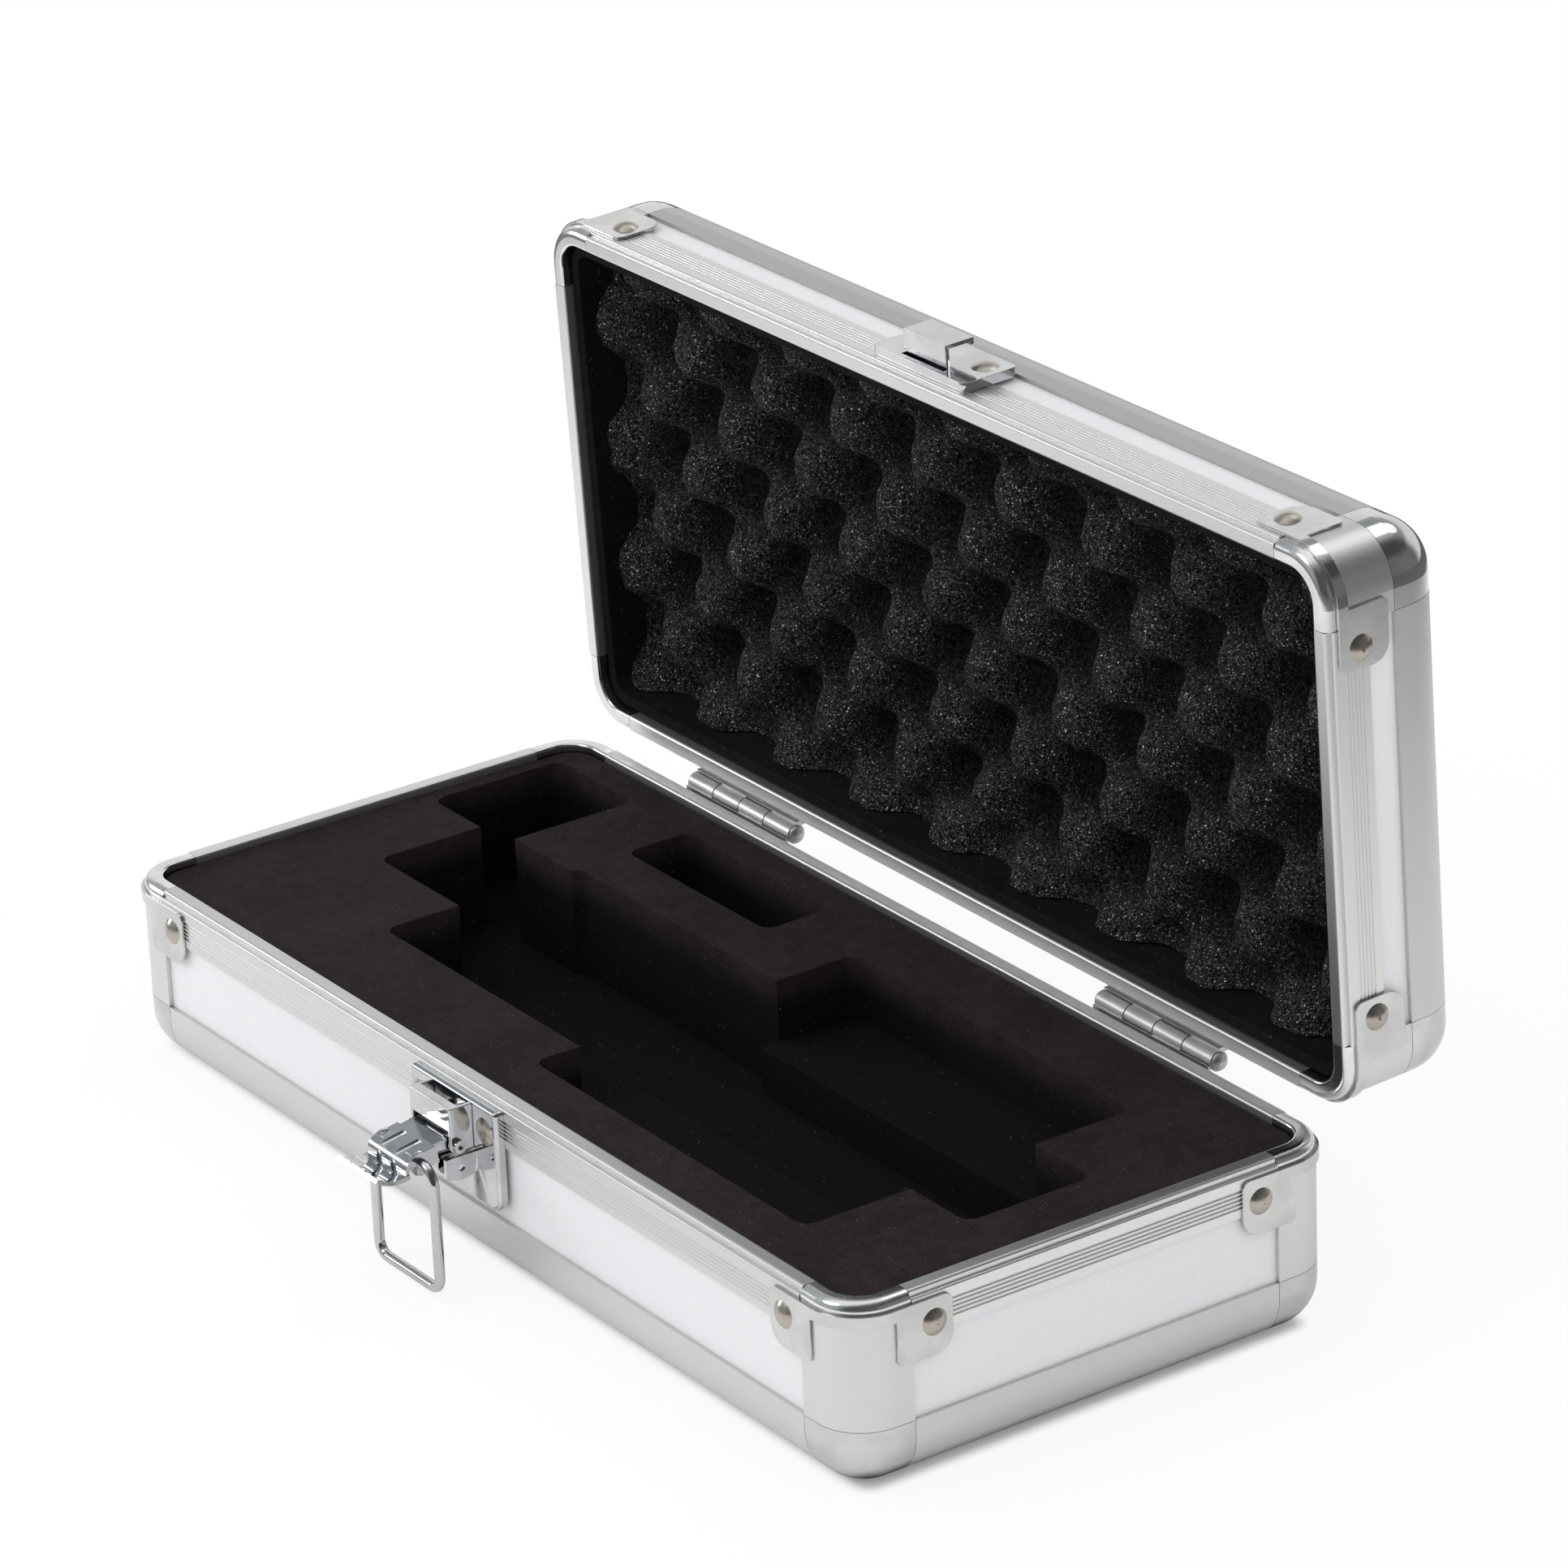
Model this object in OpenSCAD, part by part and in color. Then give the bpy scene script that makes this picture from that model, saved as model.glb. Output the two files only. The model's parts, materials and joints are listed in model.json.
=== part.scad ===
// Small aluminium-framed carry case, shown with its lid open and its latch undone.
// Millimetres. The origin is the middle of the base on the table, +Z is up, the latch faces -Y
// and the hinges run along +X at the back.

/* [Case] */
// Outside length of the case, along the hinges
case_length = 260; // [225:1:400]
// Outside width of the case, from the latch side to the hinge side
case_width = 116; // [104:1:240]
// Height of the base, from the table to its rim
base_height = 40.3; // [38:0.1:120]
// Height of the lid, from its rim to its top
lid_height = 29.9; // [26:0.1:90]
// Angle that the lid stands open
lid_angle = 87.5; // [60:0.5:90]
// Gap between the two rims when the case is shut
parting_gap = 0.3; // [0.2:0.05:1]

/* [Frame] */
// Radius of the upright corners
corner_radius = 10.5; // [10.5:0.1:13]
// Radius of the long rounded edges
edge_radius = 10; // [8:0.1:10.4]
// Thickness of the rails and posts
wall = 0.9; // [0.7:0.05:1.2]
// Thickness of the white panels
panel_thickness = 2.4; // [2:0.1:2.8]
// Clearance between a panel and the slot that holds it
fit = 0.05; // [0.03:0.01:0.1]
// Height of the edge rails on the side faces, and their reach under the case
edge_rail_height = 13.6; // [12:0.1:16]
// Length of the legs that hold the panels from inside
channel_leg = 2.5; // [1.5:0.1:3]
// Reach of a corner post from the corner, along each face
post_reach = 14.8; // [14:0.1:17]
// Open seam between neighbouring metal pieces
seam = 0.1; // [0.1:0.05:0.6]

/* [Rim] */
// Height of the rim rails on the side faces
rim_rail_height = 9.8; // [9:0.1:12]
// Height of the raised lip on the rim
lip_height = 1.4; // [1:0.1:1.8]
// Distance of the lip from the outer face
lip_inset = 0.8; // [0.6:0.05:1.2]
// Rounding of the lip's edges
lip_round = 0.6; // [0.3:0.05:0.65]
// Rounding of the rail's shoulder beside the lip
shoulder_round = 0.45; // [0.2:0.05:0.6]
// Radius of the bead on the bright corners of the rim
bead_radius = 2; // [1:0.1:2.1]
// Distance of that bead from the outer face
bead_inset = 0.2; // [0.1:0.05:0.6]
// Length of the leg behind the panel
rim_leg = 1.5; // [1:0.1:1.7]
// Number of fine grooves along a rim rail
groove_count = 5; // [3:1:6]
// Distance between the grooves
groove_pitch = 0.87; // [0.7:0.01:0.95]
// Radius of the grooves
groove_radius = 0.28; // [0.15:0.01:0.32]
// Distance of the first groove from the rim
groove_start = 4.2; // [3.6:0.1:4.4]

/* [Corner brackets] */
// Thickness of the corner brackets
bracket_wall = 0.6; // [0.4:0.05:0.9]
// Height of the band round the post
band_height = 2.6; // [2:0.1:4]
// Slit between the post's curve and a tab
tab_slit = 0.5; // [0.3:0.05:1]
// Distance from the corner to the end of a tab
tab_reach = 23.8; // [23:0.1:27]
// Distance from the rim to the lower end of a tab
tab_drop = 14.3; // [12:0.1:16]
// Rounding of a tab's lower free corner
tab_round = 4.2; // [2:0.1:5]
// Rounding of a tab's upper free corner
tab_top_round = 1.8; // [1:0.1:3]
// Rounding of a tab's lower corner beside the post
tab_inner_round = 1.5; // [0.5:0.1:2]

/* [Rivets] */
// Radius of the corner rivets' heads
rivet_head = 2.8; // [2.2:0.1:3]
// Height of the corner rivets' heads
rivet_dome = 1.2; // [0.8:0.1:1.6]
// Radius of all rivet shanks
rivet_shank = 1.1; // [0.9:0.05:1.2]
// Radius of the tail that closes a rivet inside
rivet_tail = 2; // [1.7:0.1:2.2]
// Thickness of the tail
tail_height = 0.6; // [0.4:0.05:0.8]
// Distance of the corner and hinge rivets from the rim
rivet_drop = 7.4; // [7:0.1:8]
// Distance of the corner rivets from the corner
rivet_reach = 19.5; // [19:0.1:20.5]

/* [Hinges] */
// Share of the case length from its middle to each hinge's middle
hinge_share = 0.275; // [0.21:0.005:0.31]
// Distance of the hinge axis behind the back face
hinge_reach = 2.65; // [2.6:0.05:3.5]
// Outside radius of the knuckles
knuckle_radius = 2.2; // [1.9:0.05:2.25]
// Length of one knuckle
knuckle_length = 9; // [7:0.1:10]
// Gap between two knuckles
knuckle_gap = 0.3; // [0.2:0.05:0.6]
// Number of knuckles on a hinge
knuckle_count = 4; // [4:2:6]
// Radius of the hinge pins
pin_radius = 1.1; // [0.8:0.05:1.3]
// Running clearance round the pins
pin_play = 0.05; // [0.02:0.01:0.1]
// Radius of the domed ends of the pins
pin_head = 2; // [1.6:0.05:2.2]
// Height of the domed ends of the pins
pin_dome = 1.4; // [0.8:0.1:2]
// Thickness of the hinge leaves
leaf_thickness = 1; // [0.7:0.05:1.2]
// Height of the hinge leaves
leaf_height = 12.5; // [11:0.1:15]
// Distance of the leaf rivets from the hinge's middle
leaf_rivet_offset = 11; // [8:0.5:13]
// Radius of the fitting rivets' heads, on hinges, latch and keeper
fitting_head = 2.9; // [2.3:0.1:3]
// Height of the fitting rivets' heads
fitting_dome = 0.8; // [0.6:0.1:1]

/* [Latch] */
// Width of the latch plate and the keeper plate
plate_width = 30.8; // [30:0.1:34]
// Height of the latch plate
plate_height = 22.2; // [20:0.1:26]
// Distance of the latch plate's top from the rim
plate_drop = 1.8; // [1.5:0.1:2]
// How far both plates stand out from the case
plate_proud = 2.1; // [1.8:0.05:2.4]
// Sheet thickness of the plates, hood, hook and lever
sheet = 0.9; // [0.7:0.05:1]
// Rounding of the latch plate's lower corners
plate_round = 3.2; // [1.5:0.1:5]
// Distance of the latch rivets from the middle
latch_rivet_offset = 11.4; // [11:0.1:12.4]
// Distance of the latch rivets from the rim
latch_rivet_drop = 7; // [6.6:0.1:8]
// Half the width between the hood's cheeks
hood_half = 6.4; // [6.35:0.05:6.5]
// How far the hood stands out from the case
hood_proud = 7.4; // [7.2:0.1:8.4]
// Distance of the hood's top from the rim
hood_drop = 2.2; // [2:0.1:2.6]
// Distance of the hood's lower front edge from the rim
hood_sill = 7.3; // [6.5:0.1:7.8]
// Depth of the shelf on the hood's top
hood_shelf = 2.4; // [1.5:0.1:3]
// Radius of the hood's cheeks round the pivot
cheek_radius = 1.8; // [1.6:0.05:2.4]
// Distance of the lever pivot from the case front
pivot_out = 5.8; // [5.6:0.05:6.2]
// Distance of the lever pivot below the rim
pivot_drop = 10.4; // [10.2:0.1:11]
// Radius of the lever pin
lever_pin_radius = 0.9; // [0.7:0.05:1.1]
// Radius of the lever pin's flat heads
lever_pin_head = 1.4; // [1.2:0.05:1.7]
// Height of the lever pin's heads
lever_pin_rise = 1; // [0.5:0.05:1.1]
// Radius and depth of the hollow in each head
lever_pin_hollow = 0.65; // [0.3:0.05:0.8]

/* [Lever] */
// Slope of the open lever, down from level
lever_slope = 10; // [0:0.5:12]
// Turn of the lever from open to shut
lever_swing = 83.5; // [82:0.5:84]
// Length of the lever, from its pivot to the end of its bend
lever_length = 12.5; // [12:0.1:15]
// Half the width of the lever's handle
lever_half = 7; // [6.7:0.05:7.1]
// Height of the lever's top above the pivot
lever_top = 2.1; // [1.8:0.05:2.2]
// Depth of the lever's sides below the pivot
lever_side = 1.6; // [1.4:0.05:1.8]
// Radius of the lever's hub round the pivot
hub_radius = 2; // [1.7:0.05:2.2]
// Distance from the pivot to the handle's shoulder
lever_shoulder = 4.6; // [4.2:0.1:5]
// Distance from the pivot to the bail's hole
bail_arm = 8.5; // [8:0.1:9]
// Radius of the lug round the bail's hole
lug_radius = 2.5; // [2:0.1:2.6]
// Radius of the bend at the lever's end
lever_bend = 3; // [2.6:0.1:3.4]
// Radius of the lever's scooped lip
lip_radius = 9.4; // [8:0.1:12]
// Angle that the lip turns through
lip_angle = 46; // [30:1:50]
// Half the width of the lip
lip_half = 7.2; // [7:0.1:9]
// Distance of the two flutes from the middle
flute_offset = 2.6; // [2.4:0.1:3]
// Radius of the flutes
flute_radius = 1.1; // [0.8:0.05:1.3]
// Length of the flutes on the lever's top
flute_length = 7; // [3:0.1:7.2]
// Heel stud: how far along the lever from the pivot
heel_out = 2.6; // [2.2:0.1:2.8]
// Heel stud: how far below the pivot
heel_drop = 3.4; // [3:0.1:3.5]
// Radius of the heel round its stud
heel_radius = 2.1; // [1.6:0.05:2.2]
// Radius of the heel stud
stud_radius = 0.9; // [0.6:0.05:1.1]
// Clearance between the hood and the two ears under its pivot
ear_gap = 0.1; // [0.1:0.05:0.2]
// Distance of the ears below the pivot
ear_drop = 1.9; // [1.7:0.1:2.5]
// How far the ears stand out from the case
ear_proud = 9.4; // [7:0.1:10]
// Clearance between the ears and the bail's wire
ear_play = 0.4; // [0.35:0.05:0.8]
// Radius of the hole in each ear
ear_hole = 0.75; // [0.4:0.05:1]

/* [Bail and keeper] */
// Radius of the bail's wire
wire_radius = 1.1; // [1:0.05:1.25]
// Half the width of the bail, between the middles of its legs
bail_half = 11.1; // [11:0.1:11.8]
// Bend of the wire where it enters the lever
stub_bend = 4; // [3:0.1:4]
// Bend of the wire at the rod
rod_bend = 3; // [2:0.1:3.2]
// Distance of the rod from the case front when the case is shut
rod_out = 4.7; // [4.4:0.05:4.8]
// Height of the keeper plate
keeper_height = 13.5; // [13:0.1:15]
// Distance of the keeper plate from the lid's rim
keeper_drop = 2.5; // [2:0.1:2.8]
// Rounding of the keeper plate's corners
keeper_round = 1.5; // [0.5:0.1:3]
// Distance of the keeper rivets from the middle
keeper_rivet_offset = 11; // [10.6:0.1:11.4]
// Distance of the keeper rivets from the lid's rim
keeper_rivet_drop = 11.2; // [11.1:0.1:12]
// Half the width of the keeper's hook
hook_half = 7; // [6:0.1:7.2]
// Distance of the hook's wall from the lid's rim
hook_drop = 4.6; // [4.2:0.1:5]
// Length of the hook along the lid
hook_length = 7.1; // [6.5:0.1:7.5]
// How far the hook stands out from the case
hook_proud = 7.2; // [7.15:0.05:8]
// Length of the turned-in tip of the hook
hook_tip = 0.6; // [0.3:0.1:0.8]
// Width of the slot cut beside the hook's foot
hook_slot = 0.8; // [0.4:0.1:1]
// Play between the bail's rod and the hook when the case is shut
rod_play = 0.5; // [0.4:0.05:0.8]

/* [Foam] */
// Gap between the rim and the foam
foam_gap = 0.4; // [0.3:0.05:0.8]
// Distance of the foam's top below the base's rim
foam_drop = 1.7; // [1:0.1:3]
// Depth of the flat card recess
card_depth = 13.6; // [6:0.1:14]
// Depth of the deep pockets, below the foam's top
pocket_depth = 24; // [18:0.5:26]
// Corner radius of the pockets
pocket_round = 3; // [2.5:0.5:7]
// Distance of the head pocket from the left end of the foam
head_margin = 3.5; // [3:0.1:8]
// Length of the head pocket
head_length = 28.7; // [24:0.1:32]
// Distance of the head pocket from the back of the foam
head_back_margin = 6.9; // [4:0.1:10]
// Distance from the head pocket's start to the neck's start
neck_start = 18.7; // [14:0.1:20]
// How far the neck reaches behind the handle pocket
neck_step = 2.7; // [2:0.1:3.4]
// Overlap of the head pocket and the neck
head_overlap = 2.2; // [2:0.1:6]
// Distance from the head pocket's start to the ring pocket
ring_start = 49.8; // [46:0.1:54]
// Length of the ring pocket
ring_length = 72.5; // [60:0.5:76]
// Distance from the pockets' middle line to the ring pocket's front
ring_front = 28.5; // [26:0.5:29]
// Distance of the card recess from the right end of the foam
card_margin = 32.3; // [28:0.1:40]
// Distance of the card recess from the front of the foam
card_front_margin = 12.3; // [10:0.1:14]
// Distance of the card recess from the back of the foam
card_back_margin = 16.3; // [12:0.1:18]
// Distance of the handle pocket from the right end of the foam
handle_margin = 14.3; // [10:0.1:20]
// Width of the handle pocket
handle_width = 29.5; // [24:0.5:32]
// Distance of the pockets' middle line in front of the case's middle
handle_shift = 1.5; // [0:0.1:3]
// Extra width of the pockets towards the back, beside the handle
back_step = 4.5; // [3:0.1:6]
// Length of the small accessory pocket
accessory_length = 51; // [30:0.5:52]
// Width of the small accessory pocket
accessory_width = 16; // [10:0.5:17]
// Distance of the accessory pocket from the back of the foam
accessory_margin = 7; // [5:0.1:9]

/* [Lid lining] */
// Thickness of the liner strip round the lid's walls
strip_thickness = 2.5; // [1.5:0.1:3]
// Distance of the liner strip from the lid's rim
strip_drop = 2.2; // [1.5:0.1:4]
// Thickness of the liner sheet
liner_thickness = 2; // [1:0.1:3]
// Gap between the liner strip and the foam pad
pad_gap = 1.2; // [1.2:0.1:2]
// Distance between neighbouring bumps of the foam pad
bump_pitch = 28.2; // [20:0.1:34]
// Distance of one bump from the lid's middle, along the hinges
bump_shift_x = 5; // [0:0.5:14]
// Distance of one bump from the lid's middle, towards the hinges
bump_shift_y = 8.5; // [0:0.5:14]
// Height of the bumps above and below their middle level
bump_height = 5.6; // [3:0.1:5.8]
// Thickness of the foam pad under its hollows
pad_sheet = 4.5; // [3:0.1:5]

/* [Hidden] */
$fn = 48;
BASE = 0;
LID = 1;
FRONT = 0;
RIGHT = 1;
BACK = 2;
LEFT = 3;

ALUMINIUM = "#bbbbb7";
CHROME = "#d5d7da";
NICKEL = "#b5ada0";
PANEL = "#e6e4e8";
EVA = "#2c2728";
CRATE = "#1e1c1d";

// Slots and depths of the frame
panel_slot = panel_thickness + 2 * fit;
rim_depth = wall + panel_slot + wall;
panel_out = wall + fit;
panel_in = panel_out + panel_thickness;
floor_stack = rim_depth + foam_gap;
web_drop = lip_height + wall;
post_top = web_drop + fit;
post_ext = post_reach - corner_radius;

// Hinge axis
hinge_y = case_width / 2 + hinge_reach;
hinge_z = base_height + parting_gap / 2;
barrel_pitch = knuckle_length + knuckle_gap;
barrel_length = knuckle_count * barrel_pitch - knuckle_gap;

// Hinges: where their middles are
hinge_offset = hinge_share * case_length;

// Latch: pivot, bail and hook, and where the bail's ends are when the case is shut
pivot_z = base_height - pivot_drop;
pivot_y = -case_width / 2 - pivot_out;
hook_inner = hook_drop + sheet;
rod_drop = hook_inner + rod_play + wire_radius;
shut_angle = lever_slope + lever_swing;
shut_out = pivot_out + bail_arm * cos(shut_angle);
shut_z = pivot_z - bail_arm * sin(shut_angle);
bail_length = norm([rod_out - shut_out, base_height + parting_gap + rod_drop - shut_z]);
inner_cheek = hood_half - 0.4;
knee = lever_length - lever_bend;

// Foam blocks
foam_inset = rim_depth + foam_gap;
foam_x = case_length / 2 - foam_inset;
foam_y = case_width / 2 - foam_inset;
foam_round = corner_radius - foam_inset;
foam_top = base_height - foam_drop;
card_floor = foam_top - card_depth;
pocket_floor = foam_top - pocket_depth;
head_x = -foam_x + head_margin;
neck_x = head_x + neck_start;
ring_x = head_x + ring_start;
card_x = ring_x + ring_length;
card_end = foam_x - card_margin;
handle_end = foam_x - handle_margin;
handle_front = -handle_shift - handle_width / 2;
handle_back = -handle_shift + handle_width / 2;
head_back = foam_y - head_back_margin;
card_front = -foam_y + card_front_margin;
card_back = foam_y - card_back_margin;
neck_back = handle_back + neck_step;
ring_back = handle_back + back_step;
ring_low = -handle_shift - ring_front;
accessory_back = foam_y - accessory_margin;

// Foam pad of the lid
pad_inset = foam_inset + strip_thickness + pad_gap;
pad_x = case_length / 2 - pad_inset;
pad_y = case_width / 2 - pad_inset;
pad_floor = floor_stack + liner_thickness;
pad_xs = pad_lines(pad_x, bump_pitch / 6, bump_shift_x);
pad_ys = pad_lines(pad_y, bump_pitch / 4, bump_shift_y);
pad_columns = len(pad_xs) - 1;
pad_rows = len(pad_ys) - 1;

// Each half is drawn with its rim at z = 0 and its body below, then put in place.
function half_height(half) = half == BASE ? base_height : lid_height;

function side_length(side) = side % 2 == 0 ? case_length : case_width;

function side_depth(side) = side % 2 == 0 ? case_width : case_length;

// Rivets on one side of one half, as [distance along the side, distance from the rim]
function corner_spots(side) =
    [for (s = [-1, 1]) [s * (side_length(side) / 2 - rivet_reach), rivet_drop]];

function hinge_spots() =
    [for (h = [-1, 1], s = [-1, 1]) [h * hinge_offset + s * leaf_rivet_offset, rivet_drop]];

function fitting_spots(half) =
    half == BASE ? [for (s = [-1, 1]) [s * latch_rivet_offset, latch_rivet_drop]]
                 : [for (s = [-1, 1]) [s * keeper_rivet_offset, keeper_rivet_drop]];

function rivet_spots(half, side) = concat(
    corner_spots(side),
    side == BACK ? hinge_spots() : [],
    side == FRONT ? fitting_spots(half) : []
);

module place(half) {
    if (half == BASE)
        translate([0, 0, base_height]) children();
    else
        translate([0, hinge_y, hinge_z])
            rotate([-lid_angle, 0, 0])
                translate([0, -hinge_y, base_height + parting_gap - hinge_z])
                    mirror([0, 0, 1]) children();
}

// Local x runs along the side, local y runs inwards from its outer face
module on_side(side)
    rotate([0, 0, 90 * side]) translate([0, -side_depth(side) / 2, 0]) children();

// Local origin on the upright axis of a corner, whose arc runs from -y to +x
module on_corner(k) {
    sx = k < 2 ? 1 : -1;
    sy = k == 0 || k == 3 ? -1 : 1;
    translate([sx * (case_length / 2 - corner_radius), sy * (case_width / 2 - corner_radius), 0])
        rotate([0, 0, 90 * k]) children();
}

module on_corners()
    for (k = [0 : 3]) on_corner(k) children();

// A section with x = radius, swept round the corner and on along both faces
module corner_sweep(extra) {
    rotate([0, 0, -90]) rotate_extrude(angle = 90) children();
    translate([0, extra, 0]) rotate([90, 0, 0]) linear_extrude(extra) children();
    rotate([0, 0, -90]) rotate([90, 0, 0]) linear_extrude(extra) children();
}

// A section drawn as [inwards, up], run along a side between the corner pieces
module side_sweep(side) {
    run = side_length(side) - 2 * (post_reach + seam);
    on_side(side) translate([-run / 2, 0, 0]) rotate([90, 0, 90]) linear_extrude(run) children();
}

module rounded_rect(length, width, radius) {
    square([length - 2 * radius, width], center = true);
    square([length, width - 2 * radius], center = true);
    for (sx = [-1, 1], sy = [-1, 1])
        translate([sx * (length / 2 - radius), sy * (width / 2 - radius)]) circle(radius);
}

module rounded_box_outline(x0, x1, y0, y1, radius)
    translate([(x0 + x1) / 2, (y0 + y1) / 2]) rounded_rect(x1 - x0, y1 - y0, radius);

// Rivet with its axis along +z: dome above z = 0, shank and tail below
module rivet(head, dome, grip) {
    ball = (head * head + dome * dome) / (2 * dome);
    intersection() {
        translate([0, 0, dome - ball]) sphere(ball);
        cylinder(r = head + 1, h = dome + 1);
    }
    translate([0, 0, -grip - tail_height]) cylinder(r = rivet_shank, h = grip + tail_height);
    translate([0, 0, -grip - tail_height]) cylinder(r = rivet_tail, h = tail_height);
}

// Puts rivets, heads outwards, on a side: proud is the height of the face that they sit on
module rivets_at(side, spots, proud, head, dome)
    on_side(side)
        for (spot = spots)
            translate([spot[0], -proud, -spot[1]])
                rotate([90, 0, 0]) rivet(head, dome, proud + panel_in + fit);

// Clearance holes for all rivets of a side
module rivet_holes(half, side)
    on_side(side)
        for (spot = rivet_spots(half, side))
            translate([spot[0], floor_stack, -spot[1]])
                rotate([90, 0, 0]) cylinder(r = rivet_shank + fit, h = 2 * floor_stack);

// Panels

module side_panel(half, side) {
    length = side_length(side) - 2 * corner_radius;
    low = -half_height(half) + edge_radius + fit;
    high = -web_drop - fit;
    color(PANEL) place(half) difference() {
        on_side(side)
            translate([-length / 2, panel_out, low]) cube([length, panel_thickness, high - low]);
        rivet_holes(half, side);
    }
}

module floor_panel(half) {
    length = case_length - 2 * (edge_radius + fit);
    width = case_width - 2 * (edge_radius + fit);
    bare = edge_rail_height + seam;
    color(PANEL) place(half) translate([0, 0, -half_height(half)]) {
        translate([-length / 2, -width / 2, panel_out]) cube([length, width, panel_thickness]);
        translate([bare - case_length / 2, bare - case_width / 2, 0])
            cube([case_length - 2 * bare, case_width - 2 * bare, panel_in]);
    }
}

// Rounded edge rails, posts and ball corners

module edge_skin(bottom_leg) {
    translate([0, edge_radius]) square([wall, edge_rail_height - edge_radius]);
    translate([edge_radius, 0]) square([bottom_leg - edge_radius, wall]);
    intersection() {
        square(edge_radius);
        translate([edge_radius, edge_radius]) difference() {
            circle(edge_radius);
            circle(edge_radius - wall);
        }
    }
}

module edge_slot() {
    translate([wall / 2, edge_radius - wall]) square([rim_depth - wall / 2, wall]);
    translate([rim_depth - wall, edge_radius - wall]) square([wall, channel_leg + wall]);
}

module edge_rail(half, side)
    color(ALUMINIUM) place(half) translate([0, 0, -half_height(half)])
        side_sweep(side) {
            edge_skin(edge_rail_height);
            edge_slot();
            mirror([1, -1]) edge_slot();
        }

module corner_posts(half) {
    low = -half_height(half) + edge_rail_height + seam;
    color(ALUMINIUM) place(half) on_corners() corner_sweep(post_ext)
        translate([corner_radius - wall, low]) square([wall, -post_top - low]);
}

module ball_corners(half) {
    foot = edge_rail_height - corner_radius;
    color(ALUMINIUM) place(half) translate([0, 0, -half_height(half)])
        on_corners() {
            corner_sweep(post_ext)
                intersection() {
                    translate([corner_radius, 0]) mirror([1, 0]) edge_skin(corner_radius);
                    square(2 * edge_rail_height);
                }
            translate([-foot, 0, 0]) cube([foot, foot, wall]);
        }
}

// Rim rails and the bright corners of the rim

module lip_section() {
    width = rim_depth - lip_inset;
    translate([lip_inset, -lip_height]) {
        square([width, lip_height - lip_round]);
        translate([lip_round, 0]) square([width - 2 * lip_round, lip_height]);
        for (x = [lip_round, width - lip_round])
            translate([x, lip_height - lip_round]) circle(lip_round);
    }
    translate([rim_depth - wall, -web_drop - rim_leg]) square([wall, rim_leg + wall]);
}

module rim_rail_section() difference() {
    union() {
        lip_section();
        translate([shoulder_round, -web_drop]) square([rim_depth - shoulder_round, wall]);
        translate([0, -rim_rail_height])
            square([wall, rim_rail_height - lip_height - shoulder_round]);
        translate([shoulder_round, -lip_height - shoulder_round]) circle(shoulder_round);
    }
    for (i = [0 : groove_count - 1])
        translate([0, -groove_start - i * groove_pitch]) circle(groove_radius);
}

module rim_rail(half, side)
    color(ALUMINIUM) place(half) difference() {
        side_sweep(side) rim_rail_section();
        rivet_holes(half, side);
    }

module bead_section() {
    low = -web_drop;
    crown = bead_inset + bead_radius;
    translate([bead_inset, low]) square([rim_depth - bead_inset, web_drop - bead_radius]);
    translate([crown, low]) square([rim_depth - crown - lip_round, web_drop]);
    translate([rim_depth - lip_round, low]) square([lip_round, web_drop - lip_round]);
    translate([rim_depth - lip_round, -lip_round]) circle(lip_round);
    translate([crown, -bead_radius]) intersection() {
        circle(bead_radius);
        translate([-bead_radius, 0]) square(bead_radius);
    }
    translate([rim_depth - wall, low - rim_leg]) square([wall, rim_leg + wall]);
}

module rim_corners(half)
    color(CHROME) place(half) on_corners() corner_sweep(post_ext)
        translate([corner_radius, 0]) mirror([1, 0]) bead_section();

// Corner brackets with their two tabs

module tab_outline() {
    start = tab_slit;
    end = tab_reach - corner_radius;
    corners = [
        [end - tab_round, -tab_drop + tab_round, tab_round, 0, -1],
        [end - tab_top_round, -post_top - tab_top_round, tab_top_round, 0, 0],
        [start + tab_inner_round, -tab_drop + tab_inner_round, tab_inner_round, -1, -1]
    ];
    difference() {
        translate([start, -tab_drop]) square([end - start, tab_drop - post_top]);
        for (c = corners)
            translate([c[0] + c[3] * c[2], c[1] + c[4] * c[2]]) square(c[2]);
    }
    for (c = corners)
        translate([c[0], c[1]]) circle(c[2]);
}

module bracket_tab() difference() {
    translate([corner_radius, 0, 0]) rotate([90, 0, 90]) linear_extrude(bracket_wall) tab_outline();
    translate([corner_radius - wall, rivet_reach - corner_radius, -rivet_drop])
        rotate([0, 90, 0]) cylinder(r = rivet_shank + fit, h = 2 * wall + bracket_wall);
}

module corner_brackets(half)
    color(ALUMINIUM) place(half) on_corners() {
        corner_sweep(2 * tab_slit)
            translate([corner_radius, -post_top - band_height]) square([bracket_wall, band_height]);
        bracket_tab();
        mirror([1, 1, 0]) bracket_tab();
    }

module corner_rivets(half)
    color(NICKEL) place(half)
        for (side = [FRONT : LEFT])
            rivets_at(side, corner_spots(side), bracket_wall, rivet_head, rivet_dome);

// Hinges

module along_barrel(i)
    translate([-barrel_length / 2 + i * barrel_pitch, 0, 0]) rotate([0, 90, 0]) children();

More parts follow.
